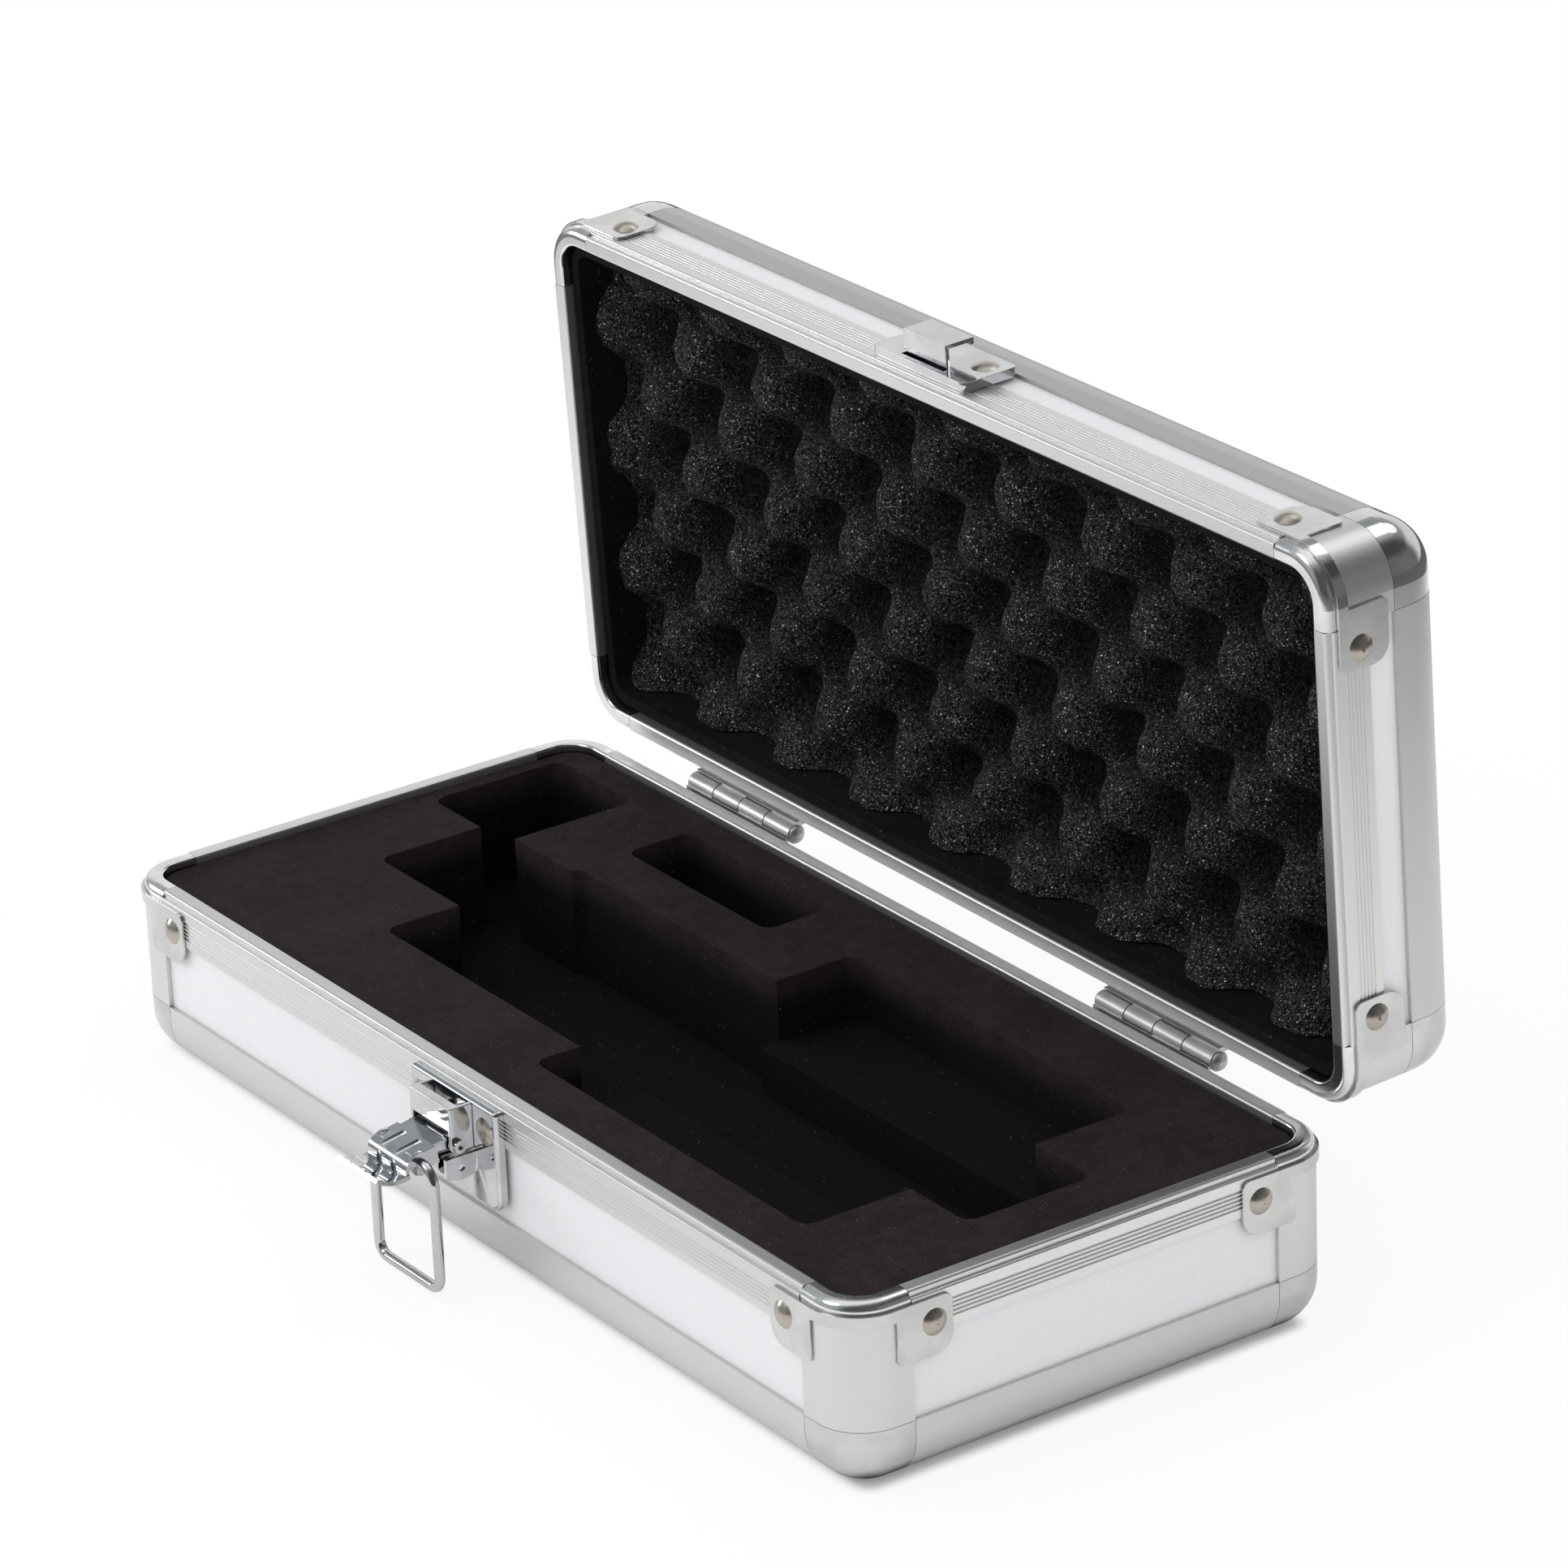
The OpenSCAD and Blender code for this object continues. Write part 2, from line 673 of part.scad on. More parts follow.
// Knuckles of one leaf: the base has the even ones, the lid has the odd ones
module hinge_leaf(half, hinge) {
    others = [for (i = [0 : knuckle_count - 1]) if (i % 2 != half) i];
    own = [for (i = [0 : knuckle_count - 1]) if (i % 2 == half) i];
    color(CHROME) place(half) translate([hinge * hinge_offset, hinge_y, parting_gap / 2]) difference() {
        union() {
            for (i = own) along_barrel(i) cylinder(r = knuckle_radius, h = knuckle_length);
            translate([-barrel_length / 2, -hinge_reach, -leaf_height])
                cube([barrel_length, leaf_thickness, leaf_height - knuckle_gap]);
        }
        for (i = own)
            along_barrel(i) translate([0, 0, -knuckle_gap])
                cylinder(r = pin_radius + pin_play, h = knuckle_length + 2 * knuckle_gap);
        for (i = others)
            along_barrel(i) translate([0, 0, -knuckle_gap])
                cylinder(r = knuckle_radius + knuckle_gap, h = knuckle_length + 2 * knuckle_gap);
        for (s = [-1, 1])
            translate([s * leaf_rivet_offset, 0, -rivet_drop - parting_gap / 2])
                rotate([90, 0, 0]) cylinder(r = rivet_shank + fit, h = 2 * hinge_reach);
    }
}

module pin_end() intersection() {
    ball = (pin_head * pin_head + pin_dome * pin_dome) / (2 * pin_dome);
    translate([0, 0, pin_dome - ball]) sphere(ball);
    cylinder(r = pin_head + 1, h = pin_dome + 1);
}

module hinge_pin(hinge) {
    length = barrel_length + knuckle_gap;
    color(CHROME) translate([hinge * hinge_offset - length / 2, hinge_y, hinge_z]) rotate([0, 90, 0]) {
        cylinder(r = pin_radius, h = length);
        translate([0, 0, length]) pin_end();
        mirror([0, 0, 1]) pin_end();
    }
}

module hinge_rivets(half)
    color(NICKEL) place(half)
        rivets_at(BACK, hinge_spots(), leaf_thickness, fitting_head, fitting_dome);

// Latch plate and hood on the base, drawn with z = 0 at the rim and +z of an outline as "up"

module outwards(height) rotate([90, 0, 0]) linear_extrude(height) children();

module plate_outline(width, height, low_round, high_round) {
    r = [low_round, high_round];
    translate([-width / 2, -height + r[0]]) square([width, height - r[0] - r[1]]);
    translate([-width / 2 + r[0], -height]) square([width - 2 * r[0], r[0]]);
    translate([-width / 2 + r[1], -r[1]]) square([width - 2 * r[1], r[1]]);
    for (s = [-1, 1]) {
        translate([s * (width / 2 - r[0]), -height + r[0]]) circle(r[0]);
        translate([s * (width / 2 - r[1]), -r[1]]) circle(r[1]);
    }
}

// Pressed plate: a face with walls that stand on the case
module pressed_plate(height, low_round, high_round) difference() {
    outwards(plate_proud) plate_outline(plate_width, height, low_round, high_round);
    translate([0, sheet, -sheet])
        outwards(plate_proud)
            plate_outline(plate_width - 2 * sheet, height - 2 * sheet,
                max(low_round - sheet, 0.2), max(high_round - sheet, 0.2));
}

module fitting_holes(half)
    for (spot = fitting_spots(half))
        translate([spot[0], 0, -spot[1]]) outwards(plate_proud + 1) circle(rivet_shank + fit);

// An ear under the pivot, drawn as [outwards, up] and rounded by the path of the wire
module ear_outline() {
    reach = bail_arm - wire_radius - ear_play;
    root = plate_proud - sheet / 2;
    translate([0, -pivot_drop]) difference() {
        intersection() {
            translate([pivot_out, 0]) circle(reach);
            translate([root, -reach]) square([ear_proud - root, reach - ear_drop]);
        }
        translate([pivot_out, -(ear_drop + reach) / 2]) circle(ear_hole);
    }
}

// The latch plate has a window for the lever's heel, and two ears under it
module latch_plate() {
    window = inner_cheek + 0.3;
    ear = hood_half + sheet + ear_gap;
    reach = norm([heel_out, heel_drop]) + heel_radius;
    color(CHROME) place(BASE) translate([0, -case_width / 2, 0]) {
        difference() {
            translate([0, 0, -plate_drop]) pressed_plate(plate_height, plate_round, 1);
            fitting_holes(BASE);
            translate([-window, -plate_proud - 1, -pivot_drop - reach])
                cube([2 * window, plate_proud + 1, reach + 0.5]);
        }
        across(ear, ear + sheet) ear_outline();
        across(-ear - sheet, -ear) ear_outline();
    }
}

// Draws an outline of [outwards, up] across the latch, from x0 to x1
module across(x0, x1)
    translate([x0, 0, 0]) rotate([90, 0, 90]) linear_extrude(x1 - x0) mirror([1, 0]) children();

module cheek_outline() {
    translate([plate_proud, -pivot_drop]) square([hood_proud - plate_proud, pivot_drop - hood_drop]);
    translate([plate_proud, -pivot_drop - cheek_radius]) square([pivot_out - plate_proud, cheek_radius]);
    translate([pivot_out, -pivot_drop]) circle(cheek_radius);
}

module latch_hood() {
    outer = hood_half + sheet;
    color(CHROME) place(BASE) translate([0, -case_width / 2, 0]) difference() {
        union() {
            across(hood_half, outer) cheek_outline();
            across(-outer, -hood_half) cheek_outline();
            across(-outer, outer) {
                translate([hood_proud - sheet, -hood_sill]) square([sheet, hood_sill - hood_drop]);
                translate([hood_proud - hood_shelf, -hood_drop - sheet]) square([hood_shelf, sheet]);
            }
        }
        across(-outer - 1, outer + 1)
            translate([pivot_out, -pivot_drop]) circle(lever_pin_radius + pin_play);
    }
}

module lever_pin_end()
    difference() {
        cylinder(r = lever_pin_head, h = lever_pin_rise);
        translate([0, 0, lever_pin_rise - lever_pin_hollow])
            cylinder(r = lever_pin_hollow, h = 2 * lever_pin_hollow);
    }

module lever_pin() {
    half = hood_half + sheet;
    color(CHROME) translate([0, pivot_y, pivot_z]) rotate([0, 90, 0]) {
        translate([0, 0, -half]) cylinder(r = lever_pin_radius, h = 2 * half);
        translate([0, 0, half]) lever_pin_end();
        mirror([0, 0, 1]) translate([0, 0, half]) lever_pin_end();
    }
}

module latch_rivets()
    color(NICKEL) place(BASE)
        rivets_at(FRONT, fitting_spots(BASE), plate_proud, fitting_head, fitting_dome);

// Lever, drawn as [along it, up] from its pivot and then sloped down

module link(p, q, radius) {
    step = q - p;
    translate(p) circle(radius);
    translate(q) circle(radius);
    translate(p) rotate(atan2(step[1], step[0])) translate([0, -radius]) square([norm(step), 2 * radius]);
}

module at_pivot()
    translate([0, pivot_y, pivot_z]) rotate([lever_slope, 0, 0]) children();

module from_pivot(x0, x1)
    at_pivot() across(x0, x1) children();

module both_sides(x0, x1) {
    from_pivot(x0, x1) children();
    from_pivot(-x1, -x0) children();
}

// Side view of the handle's end: the bend, and the lip that turns out of it
module lever_end_bend()
    translate([knee, lever_top - lever_bend]) {
        intersection() {
            difference() {
                circle(lever_bend);
                circle(lever_bend - sheet);
            }
            square(lever_bend);
        }
        translate([lever_bend - sheet, -sheet]) square([sheet, sheet]);
    }

module lever_lip() {
    start = -90 - asin(sheet / lip_radius);
    far = 2 * lip_radius;
    translate([knee + lever_bend, lever_top - lever_bend - sheet + lip_radius]) intersection() {
        difference() {
            circle(lip_radius);
            circle(lip_radius - sheet);
        }
        polygon([[0, 0], far * [cos(start), sin(start)], far * [sin(lip_angle), -cos(lip_angle)]]);
    }
}

module latch_lever() {
    under = lever_top - sheet;
    color(CHROME) difference() {
        union() {
            both_sides(inner_cheek - sheet, inner_cheek) {
                circle(hub_radius);
                translate([0, -lever_side]) square([lever_shoulder + sheet, lever_side + lever_top]);
                link([0, 0], [heel_out, -heel_drop], heel_radius);
            }
            both_sides(inner_cheek - sheet, lever_half)
                translate([lever_shoulder, -lever_side]) square([sheet, lever_side + lever_top]);
            both_sides(lever_half - sheet, lever_half) {
                translate([lever_shoulder, -lever_side])
                    square([knee - lever_shoulder, lever_side + lever_top]);
                translate([bail_arm, 0]) circle(lug_radius);
            }
            from_pivot(-inner_cheek, inner_cheek)
                translate([hub_radius, under]) square([lever_shoulder - hub_radius, sheet]);
            from_pivot(-lever_half, lever_half) {
                translate([lever_shoulder, under]) square([knee - lever_shoulder, sheet]);
                lever_end_bend();
            }
            from_pivot(-lip_half, lip_half) lever_lip();
        }
        from_pivot(-lever_half, lever_half) circle(lever_pin_radius + pin_play);
        from_pivot(-lever_half, lever_half)
            translate([heel_out, -heel_drop]) circle(stud_radius + fit);
        from_pivot(-lever_half - 1, lever_half + 1)
            translate([bail_arm, 0]) circle(wire_radius + pin_play);
        for (s = [-1, 1])
            at_pivot() translate([s * flute_offset, 0, 0]) {
                translate([0, -knee - lever_bend + flute_length, lever_top + flute_radius / 2])
                    rotate([90, 0, 0]) cylinder(r = flute_radius, h = 2 * flute_length);
                translate([0, -knee - lever_bend - flute_radius / 3, lever_top - lever_bend])
                    cylinder(r = flute_radius, h = lever_bend + 1);
            }
    }
}

module lever_stud()
    color(CHROME) from_pivot(-inner_cheek, inner_cheek)
        translate([heel_out, -heel_drop]) circle(stud_radius);

// Wire bail, hanging from the lever

module wire(length) cylinder(r = wire_radius, h = length);

module wire_bend(radius) rotate_extrude(angle = 90) translate([radius, 0]) circle(wire_radius);

module bail_side() {
    stub_end = lever_half - 2 * sheet;
    translate([stub_end, 0, 0]) rotate([0, 90, 0]) wire(bail_half - stub_bend - stub_end);
    translate([bail_half - stub_bend, 0, -stub_bend]) rotate([90, 0, 0]) wire_bend(stub_bend);
    translate([bail_half, 0, -bail_length + rod_bend]) wire(bail_length - rod_bend - stub_bend);
    translate([bail_half - rod_bend, 0, -bail_length + rod_bend])
        rotate([90, 90, 0]) wire_bend(rod_bend);
}

module latch_bail()
    color(CHROME)
    translate([0, pivot_y - bail_arm * cos(lever_slope), pivot_z - bail_arm * sin(lever_slope)]) {
        bail_side();
        mirror([1, 0, 0]) bail_side();
        translate([-bail_half + rod_bend, 0, -bail_length])
            rotate([0, 90, 0]) wire(2 * (bail_half - rod_bend));
    }

// Keeper on the lid

module keeper()
    color(CHROME) place(LID) translate([0, -case_width / 2, 0]) {
        difference() {
            translate([0, 0, -keeper_drop]) pressed_plate(keeper_height, keeper_round, keeper_round);
            fitting_holes(LID);
            translate([-hook_half, -plate_proud - 1, -hook_drop])
                cube([2 * hook_half, plate_proud + 1, hook_slot]);
        }
        across(-hook_half, hook_half) {
            translate([plate_proud - sheet / 2, -hook_inner])
                square([hook_proud - plate_proud + sheet / 2, sheet]);
            translate([hook_proud - sheet, -hook_drop - hook_length]) square([sheet, hook_length]);
            translate([hook_proud - sheet - hook_tip, -hook_drop - hook_length])
                square([hook_tip + sheet, sheet]);
        }
    }

module keeper_rivets()
    color(NICKEL) place(LID)
        rivets_at(FRONT, fitting_spots(LID), plate_proud, fitting_head, fitting_dome);

// Foam in the base

module foam_sheet(low, high)
    color(EVA) translate([0, 0, low]) linear_extrude(high - low) difference() {
        rounded_rect(2 * foam_x, 2 * foam_y, foam_round);
        children();
    }

module deep_pockets() {
    lap = 2 * pocket_round;
    rounded_box_outline(head_x, head_x + head_length, neck_back - head_overlap, head_back, pocket_round);
    rounded_box_outline(neck_x, ring_x + lap, handle_front + back_step, neck_back, pocket_round);
    rounded_box_outline(ring_x, card_x, ring_low, ring_back, pocket_round);
    rounded_box_outline(card_x - lap, handle_end, handle_front, handle_back, pocket_round);
    rounded_box_outline(ring_x, ring_x + accessory_length,
        accessory_back - accessory_width, accessory_back, pocket_round);
}

module base_foam_top()
    foam_sheet(card_floor, foam_top) {
        deep_pockets();
        rounded_box_outline(card_x, card_end, card_front, card_back, pocket_round);
        translate([card_x - pocket_round, ring_low]) square([2 * pocket_round, ring_back - ring_low]);
    }

module base_foam_middle() foam_sheet(pocket_floor, card_floor) deep_pockets();

module base_foam_floor() foam_sheet(floor_stack, pocket_floor);

// Lining of the lid

module lid_liner_sheet()
    color(EVA) place(LID) translate([0, 0, -lid_height + floor_stack])
        linear_extrude(liner_thickness) rounded_rect(2 * foam_x, 2 * foam_y, foam_round);

module lid_liner_strip()
    color(EVA) place(LID) translate([0, 0, -lid_height + pad_floor])
        linear_extrude(lid_height - pad_floor - strip_drop) difference() {
            rounded_rect(2 * foam_x, 2 * foam_y, foam_round);
            rounded_rect(2 * (foam_x - strip_thickness), 2 * (foam_y - strip_thickness),
                max(foam_round - strip_thickness, 0.5));
        }

// Convoluted foam: a staggered field of bumps over a flat sheet
function pad_lines(half, step, shift) = concat(
    [-half],
    [for (k = [ceil((-half - shift) / step + 0.2) : floor((half - shift) / step - 0.2)])
        shift + k * step],
    [half]
);

function bump(d) = cos(360 * d / bump_pitch);

function pad_point(i, j) = [pad_xs[i], pad_ys[j],
    pad_sheet + bump_height * (1 + bump(pad_xs[i] - bump_shift_x) * bump(pad_ys[j] - bump_shift_y))];

function pad_index(i, j) = j * (pad_columns + 1) + i;

function pad_edge() = concat(
    [for (i = [0 : pad_columns - 1]) pad_index(i, 0)],
    [for (j = [0 : pad_rows - 1]) pad_index(pad_columns, j)],
    [for (i = [pad_columns : -1 : 1]) pad_index(i, pad_rows)],
    [for (j = [pad_rows : -1 : 1]) pad_index(0, j)]
);

module lid_foam_pad() {
    top = [for (j = [0 : pad_rows], i = [0 : pad_columns]) pad_point(i, j)];
    edge = pad_edge();
    count = len(edge);
    under = [for (k = edge) [top[k][0], top[k][1], 0]];
    first = len(top);
    middle = first + count;
    cells = [for (j = [0 : pad_rows - 1], i = [0 : pad_columns - 1], t = [0, 1])
        t == 0 ? [pad_index(i, j), pad_index(i, j + 1), pad_index(i + 1, j + 1)]
               : [pad_index(i, j), pad_index(i + 1, j + 1), pad_index(i + 1, j)]];
    sides = [for (k = [0 : count - 1], t = [0, 1])
        let (n = (k + 1) % count)
        t == 0 ? [edge[k], edge[n], first + n] : [edge[k], first + n, first + k]];
    floor_fan = [for (k = [0 : count - 1]) [first + k, first + (k + 1) % count, middle]];
    color(CRATE) place(LID) translate([0, 0, -lid_height + pad_floor])
        polyhedron(points = concat(top, under, [[0, 0, 0]]), faces = concat(cells, sides, floor_fan));
}

// Named pieces of the base
module base_bottom_panel() floor_panel(BASE);
module base_front_panel() side_panel(BASE, FRONT);
module base_right_panel() side_panel(BASE, RIGHT);
module base_back_panel() side_panel(BASE, BACK);
module base_left_panel() side_panel(BASE, LEFT);
module base_front_edge_rail() edge_rail(BASE, FRONT);
module base_right_edge_rail() edge_rail(BASE, RIGHT);
module base_back_edge_rail() edge_rail(BASE, BACK);
module base_left_edge_rail() edge_rail(BASE, LEFT);
module base_corner_posts() corner_posts(BASE);
module base_ball_corners() ball_corners(BASE);
module base_front_rim_rail() rim_rail(BASE, FRONT);
module base_right_rim_rail() rim_rail(BASE, RIGHT);
module base_back_rim_rail() rim_rail(BASE, BACK);
module base_left_rim_rail() rim_rail(BASE, LEFT);
module base_rim_corners() rim_corners(BASE);
module base_corner_brackets() corner_brackets(BASE);
module base_corner_rivets() corner_rivets(BASE);
module left_hinge_base_leaf() hinge_leaf(BASE, -1);
module right_hinge_base_leaf() hinge_leaf(BASE, 1);
module left_hinge_pin() hinge_pin(-1);
module right_hinge_pin() hinge_pin(1);
module hinge_base_rivets() hinge_rivets(BASE);

// Named pieces of the lid
module lid_top_panel() floor_panel(LID);
module lid_front_panel() side_panel(LID, FRONT);
module lid_right_panel() side_panel(LID, RIGHT);
module lid_back_panel() side_panel(LID, BACK);
module lid_left_panel() side_panel(LID, LEFT);
module lid_front_edge_rail() edge_rail(LID, FRONT);
module lid_right_edge_rail() edge_rail(LID, RIGHT);
module lid_back_edge_rail() edge_rail(LID, BACK);
module lid_left_edge_rail() edge_rail(LID, LEFT);
module lid_corner_posts() corner_posts(LID);
module lid_ball_corners() ball_corners(LID);
module lid_front_rim_rail() rim_rail(LID, FRONT);
module lid_right_rim_rail() rim_rail(LID, RIGHT);
module lid_back_rim_rail() rim_rail(LID, BACK);
module lid_left_rim_rail() rim_rail(LID, LEFT);
module lid_rim_corners() rim_corners(LID);
module lid_corner_brackets() corner_brackets(LID);
module lid_corner_rivets() corner_rivets(LID);
module left_hinge_lid_leaf() hinge_leaf(LID, -1);
module right_hinge_lid_leaf() hinge_leaf(LID, 1);
module hinge_lid_rivets() hinge_rivets(LID);

base_bottom_panel();
base_front_panel();
base_right_panel();
base_back_panel();
base_left_panel();
base_front_edge_rail();
base_right_edge_rail();
base_back_edge_rail();
base_left_edge_rail();
base_corner_posts();
base_ball_corners();
base_front_rim_rail();
base_right_rim_rail();
base_back_rim_rail();
base_left_rim_rail();
base_rim_corners();
base_corner_brackets();
base_corner_rivets();
base_foam_top();
base_foam_middle();
base_foam_floor();
left_hinge_base_leaf();
right_hinge_base_leaf();
left_hinge_pin();
right_hinge_pin();
hinge_base_rivets();
latch_plate();
latch_hood();
lever_pin();
latch_rivets();
lid_top_panel();
lid_front_panel();
lid_right_panel();
lid_back_panel();
lid_left_panel();
lid_front_edge_rail();
lid_right_edge_rail();
lid_back_edge_rail();
lid_left_edge_rail();
lid_corner_posts();
lid_ball_corners();
lid_front_rim_rail();
lid_right_rim_rail();
lid_back_rim_rail();
lid_left_rim_rail();
lid_rim_corners();
lid_corner_brackets();
lid_corner_rivets();
lid_liner_sheet();
lid_liner_strip();
lid_foam_pad();
left_hinge_lid_leaf();
right_hinge_lid_leaf();
hinge_lid_rivets();
keeper();
keeper_rivets();
latch_lever();
lever_stud();
latch_bail();
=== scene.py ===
# %% [markdown]
# # An aluminium-framed carry case
# The hard parts of this case, its rails, corners, hinges and latch, come from the packed
# CAD frame and stay exactly where they are. Blender adds what CAD can't show: the satin,
# plated and pebbled finishes, the soft foam, the studio light and the camera. Everything is
# in metres, with the table at z = 0, the latch towards -Y and the hinges along X.

# %% Load the frame
import json
import math

import bmesh
import bpy
from mathutils import Matrix, Vector, noise


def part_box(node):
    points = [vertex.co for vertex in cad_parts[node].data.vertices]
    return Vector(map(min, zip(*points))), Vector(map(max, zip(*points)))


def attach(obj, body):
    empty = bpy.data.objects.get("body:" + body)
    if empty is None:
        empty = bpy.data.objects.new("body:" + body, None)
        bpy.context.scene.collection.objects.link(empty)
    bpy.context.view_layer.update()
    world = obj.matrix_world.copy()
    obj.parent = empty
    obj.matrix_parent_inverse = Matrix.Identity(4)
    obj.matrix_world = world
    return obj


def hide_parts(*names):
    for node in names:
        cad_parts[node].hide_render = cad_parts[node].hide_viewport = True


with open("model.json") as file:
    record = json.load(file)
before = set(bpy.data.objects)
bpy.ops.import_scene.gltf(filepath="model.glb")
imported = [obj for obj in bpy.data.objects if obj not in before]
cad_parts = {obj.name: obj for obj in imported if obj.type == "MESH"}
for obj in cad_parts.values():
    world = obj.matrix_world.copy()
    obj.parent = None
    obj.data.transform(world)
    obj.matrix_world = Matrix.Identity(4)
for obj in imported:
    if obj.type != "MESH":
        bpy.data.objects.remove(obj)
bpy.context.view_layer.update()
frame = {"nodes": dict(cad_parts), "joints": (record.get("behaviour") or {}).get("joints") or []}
nodes = frame["nodes"]
MM = 0.001

# %% [markdown]
# ## The camera
# The case was taken from a little above its front right corner with a long lens, so its
# edges stay almost parallel. A camera can be aimed with a constraint, but a plain matrix
# made from its right, up and backward directions fixes its roll as well. These directions
# are the matrix's columns, so the rows that are written here are transposed.

# %% Camera
SENSOR_WIDTH, PHOTO_LENS, FAR_CLIP = 36, 163.71, 50
CAMERA_AT = (1.0808, -0.7153, 0.6485)
RIGHT = (0.57670, 0.81606, -0.03812)
UP = (-0.30525, 0.25853, 0.91651)
BACK = (0.75780, -0.51690, 0.39820)

camera = bpy.data.objects.new("camera", bpy.data.cameras.new("camera"))
bpy.context.scene.collection.objects.link(camera)
camera.data.sensor_width = SENSOR_WIDTH
camera.data.lens = PHOTO_LENS
camera.data.clip_end = FAR_CLIP
view_axes = Matrix((RIGHT, UP, BACK)).transposed()
camera.matrix_world = Matrix.Translation(CAMERA_AT) @ view_axes.to_4x4()
bpy.context.scene.camera = camera
bpy.context.scene.view_settings.view_transform = "Standard"
print("camera at", tuple(round(v, 3) for v in camera.location))

# %% [markdown]
# ## Shader maths
# A material or a world is a tree of nodes. To write one as plain sums, a small class wraps an
# output socket: adding or multiplying two wires adds a Math node and returns its output. Other
# nodes come from one method, which takes the node's type, its settings and its sockets.

# %% A short way to write shader maths
class Wire:
    """A socket in a node tree. Sums and products of wires become Math nodes."""

    def __init__(self, tree, socket=None):
        self.tree, self.socket = tree, socket

    def add(self, kind, settings=None, sockets=None, out=0):
        node = self.tree.nodes.new("ShaderNode" + kind)
        for key, value in (settings or {}).items():
            setattr(node, key, value)
        self.join(node, sockets or {})
        return Wire(self.tree, node.outputs[out])

    def join(self, node, sockets):
        """Link the wires to a node's sockets, and set the plain values on them."""
        for key, value in sockets.items():
            if isinstance(value, Wire):
                self.tree.links.new(value.socket, node.inputs[key])
            else:
                node.inputs[key].default_value = value

    def also(self, out):
        """Another output of the node that this wire comes from."""
        return Wire(self.tree, self.socket.node.outputs[out])

    def maths(self, operation, first, second):
        return self.add("Math", {"operation": operation}, {0: first, 1: second})

    def __add__(self, other):
        return self.maths("ADD", self, other)

    def __radd__(self, other):
        return self.maths("ADD", other, self)

    def __sub__(self, other):
        return self.maths("SUBTRACT", self, other)

    def __rsub__(self, other):
        return self.maths("SUBTRACT", other, self)

    def __mul__(self, other):
        return self.maths("MULTIPLY", self, other)

    def __rmul__(self, other):
        return self.maths("MULTIPLY", other, self)

    def __pow__(self, other):
        return self.maths("POWER", self, other)

    def __or__(self, other):
        return self.maths("MAXIMUM", self, other)

    def __abs__(self):
        return self.maths("ABSOLUTE", self, 0.0)

    def axes(self):
        """The X, Y and Z of a vector, as three wires."""
        x = self.add("SeparateXYZ", sockets={0: self})
        return x, x.also("Y"), x.also("Z")

    def between(self, low, high):
        """0 below the low value, 1 above the high one, and a smooth step from one to the other."""
        steps = {0: self, 1: low, 2: high}
        return self.add("MapRange", {"interpolation_type": "SMOOTHSTEP"}, steps)

    def blend(self, first, second):
        """The first colour where the wire is 0, and the second where it is 1."""
        colours = {0: self, 6: first, 7: second}
        return self.add("Mix", {"data_type": "RGBA"}, colours, out=2)

    def noise(self, scale, detail, **more):
        sockets = {"Vector": self, "Scale": scale, "Detail": detail, **more}
        return self.add("TexNoise", sockets=sockets)

    def cells(self, scale):
        """The distance to the middle of a Voronoi cell. Its output 1 is the cell's own colour."""
        return self.add("TexVoronoi", sockets={"Vector": self, "Scale": scale})

    def ray(self, kind):
        """1 for the rays of one kind, such as the camera's own, and 0 for all others."""
        return self.add("LightPath", out=f"Is {kind} Ray")


def shade(red, green, blue):
    return (red, green, blue, 1)


WHITE = shade(1, 1, 1)
print("shader maths ready")

# %% [markdown]
# ## The studio
# A white tent lights such a product shot. Dull surfaces get soft light from all round, more
# from above and from the right, and less from behind, and the camera sees plain white.
# Polished metal needs something dark to mirror, or it looks like paper. For reflections the
# tent is therefore a white screen behind the case and a white roof, with a dim blue-grey gap
# between them, a dim front and a dark right side. White and grey boards could stand round the
# case instead, but a world that asks which kind of ray it meets needs none of them.

# %% World
TENT_LIGHT = 0.80
BACK_LOSS, RIGHT_GAIN, ROOF_GAIN = 0.45, 0.30, 0.25
MIRROR_DIM, MIRROR_GAIN, MIRROR_RIGHT_LOSS = 0.42, 0.54, 0.80
GAP_TINT = shade(0.88, 0.94, 1)

world = bpy.data.worlds.new("studio")
bpy.context.scene.world = world
world.use_nodes = True
sky = Wire(world.node_tree)
sideways, backward, upward = sky.add("TexCoord").axes()
tent = TENT_LIGHT * (1.0 - BACK_LOSS * backward.between(0.1, 0.9)
                     + RIGHT_GAIN * sideways.between(0.2, 0.9)
                     + ROOF_GAIN * upward.between(0.3, 0.9))
screen = backward.between(-0.2, 0.3) * (1.0 - upward.between(0.42, 0.60))
bright = screen + upward.between(0.76, 0.92)
right_side = MIRROR_RIGHT_LOSS * sideways.between(0.0, 0.40)
mirrored = (MIRROR_DIM + MIRROR_GAIN * bright) * (1.0 - right_side)
seen = sky.ray("Camera") | sky.ray("Transmission")
shiny = sky.ray("Glossy")
gap = shiny * (1.0 - bright)
sky.join(world.node_tree.nodes["Background"], {
    "Color": gap.blend(WHITE, GAP_TINT),
    "Strength": tent * (1.0 - seen) * (1.0 - shiny) + seen + shiny * mirrored})
print("tent light", TENT_LIGHT)

# %% [markdown]
# ### Lamps
# Three round lamps shape the soft light: a broad one above the front left, a small low one at
# the left, and a weak one at the back. A lamp shines along its own -Z, so that axis is turned
# to track the aim.

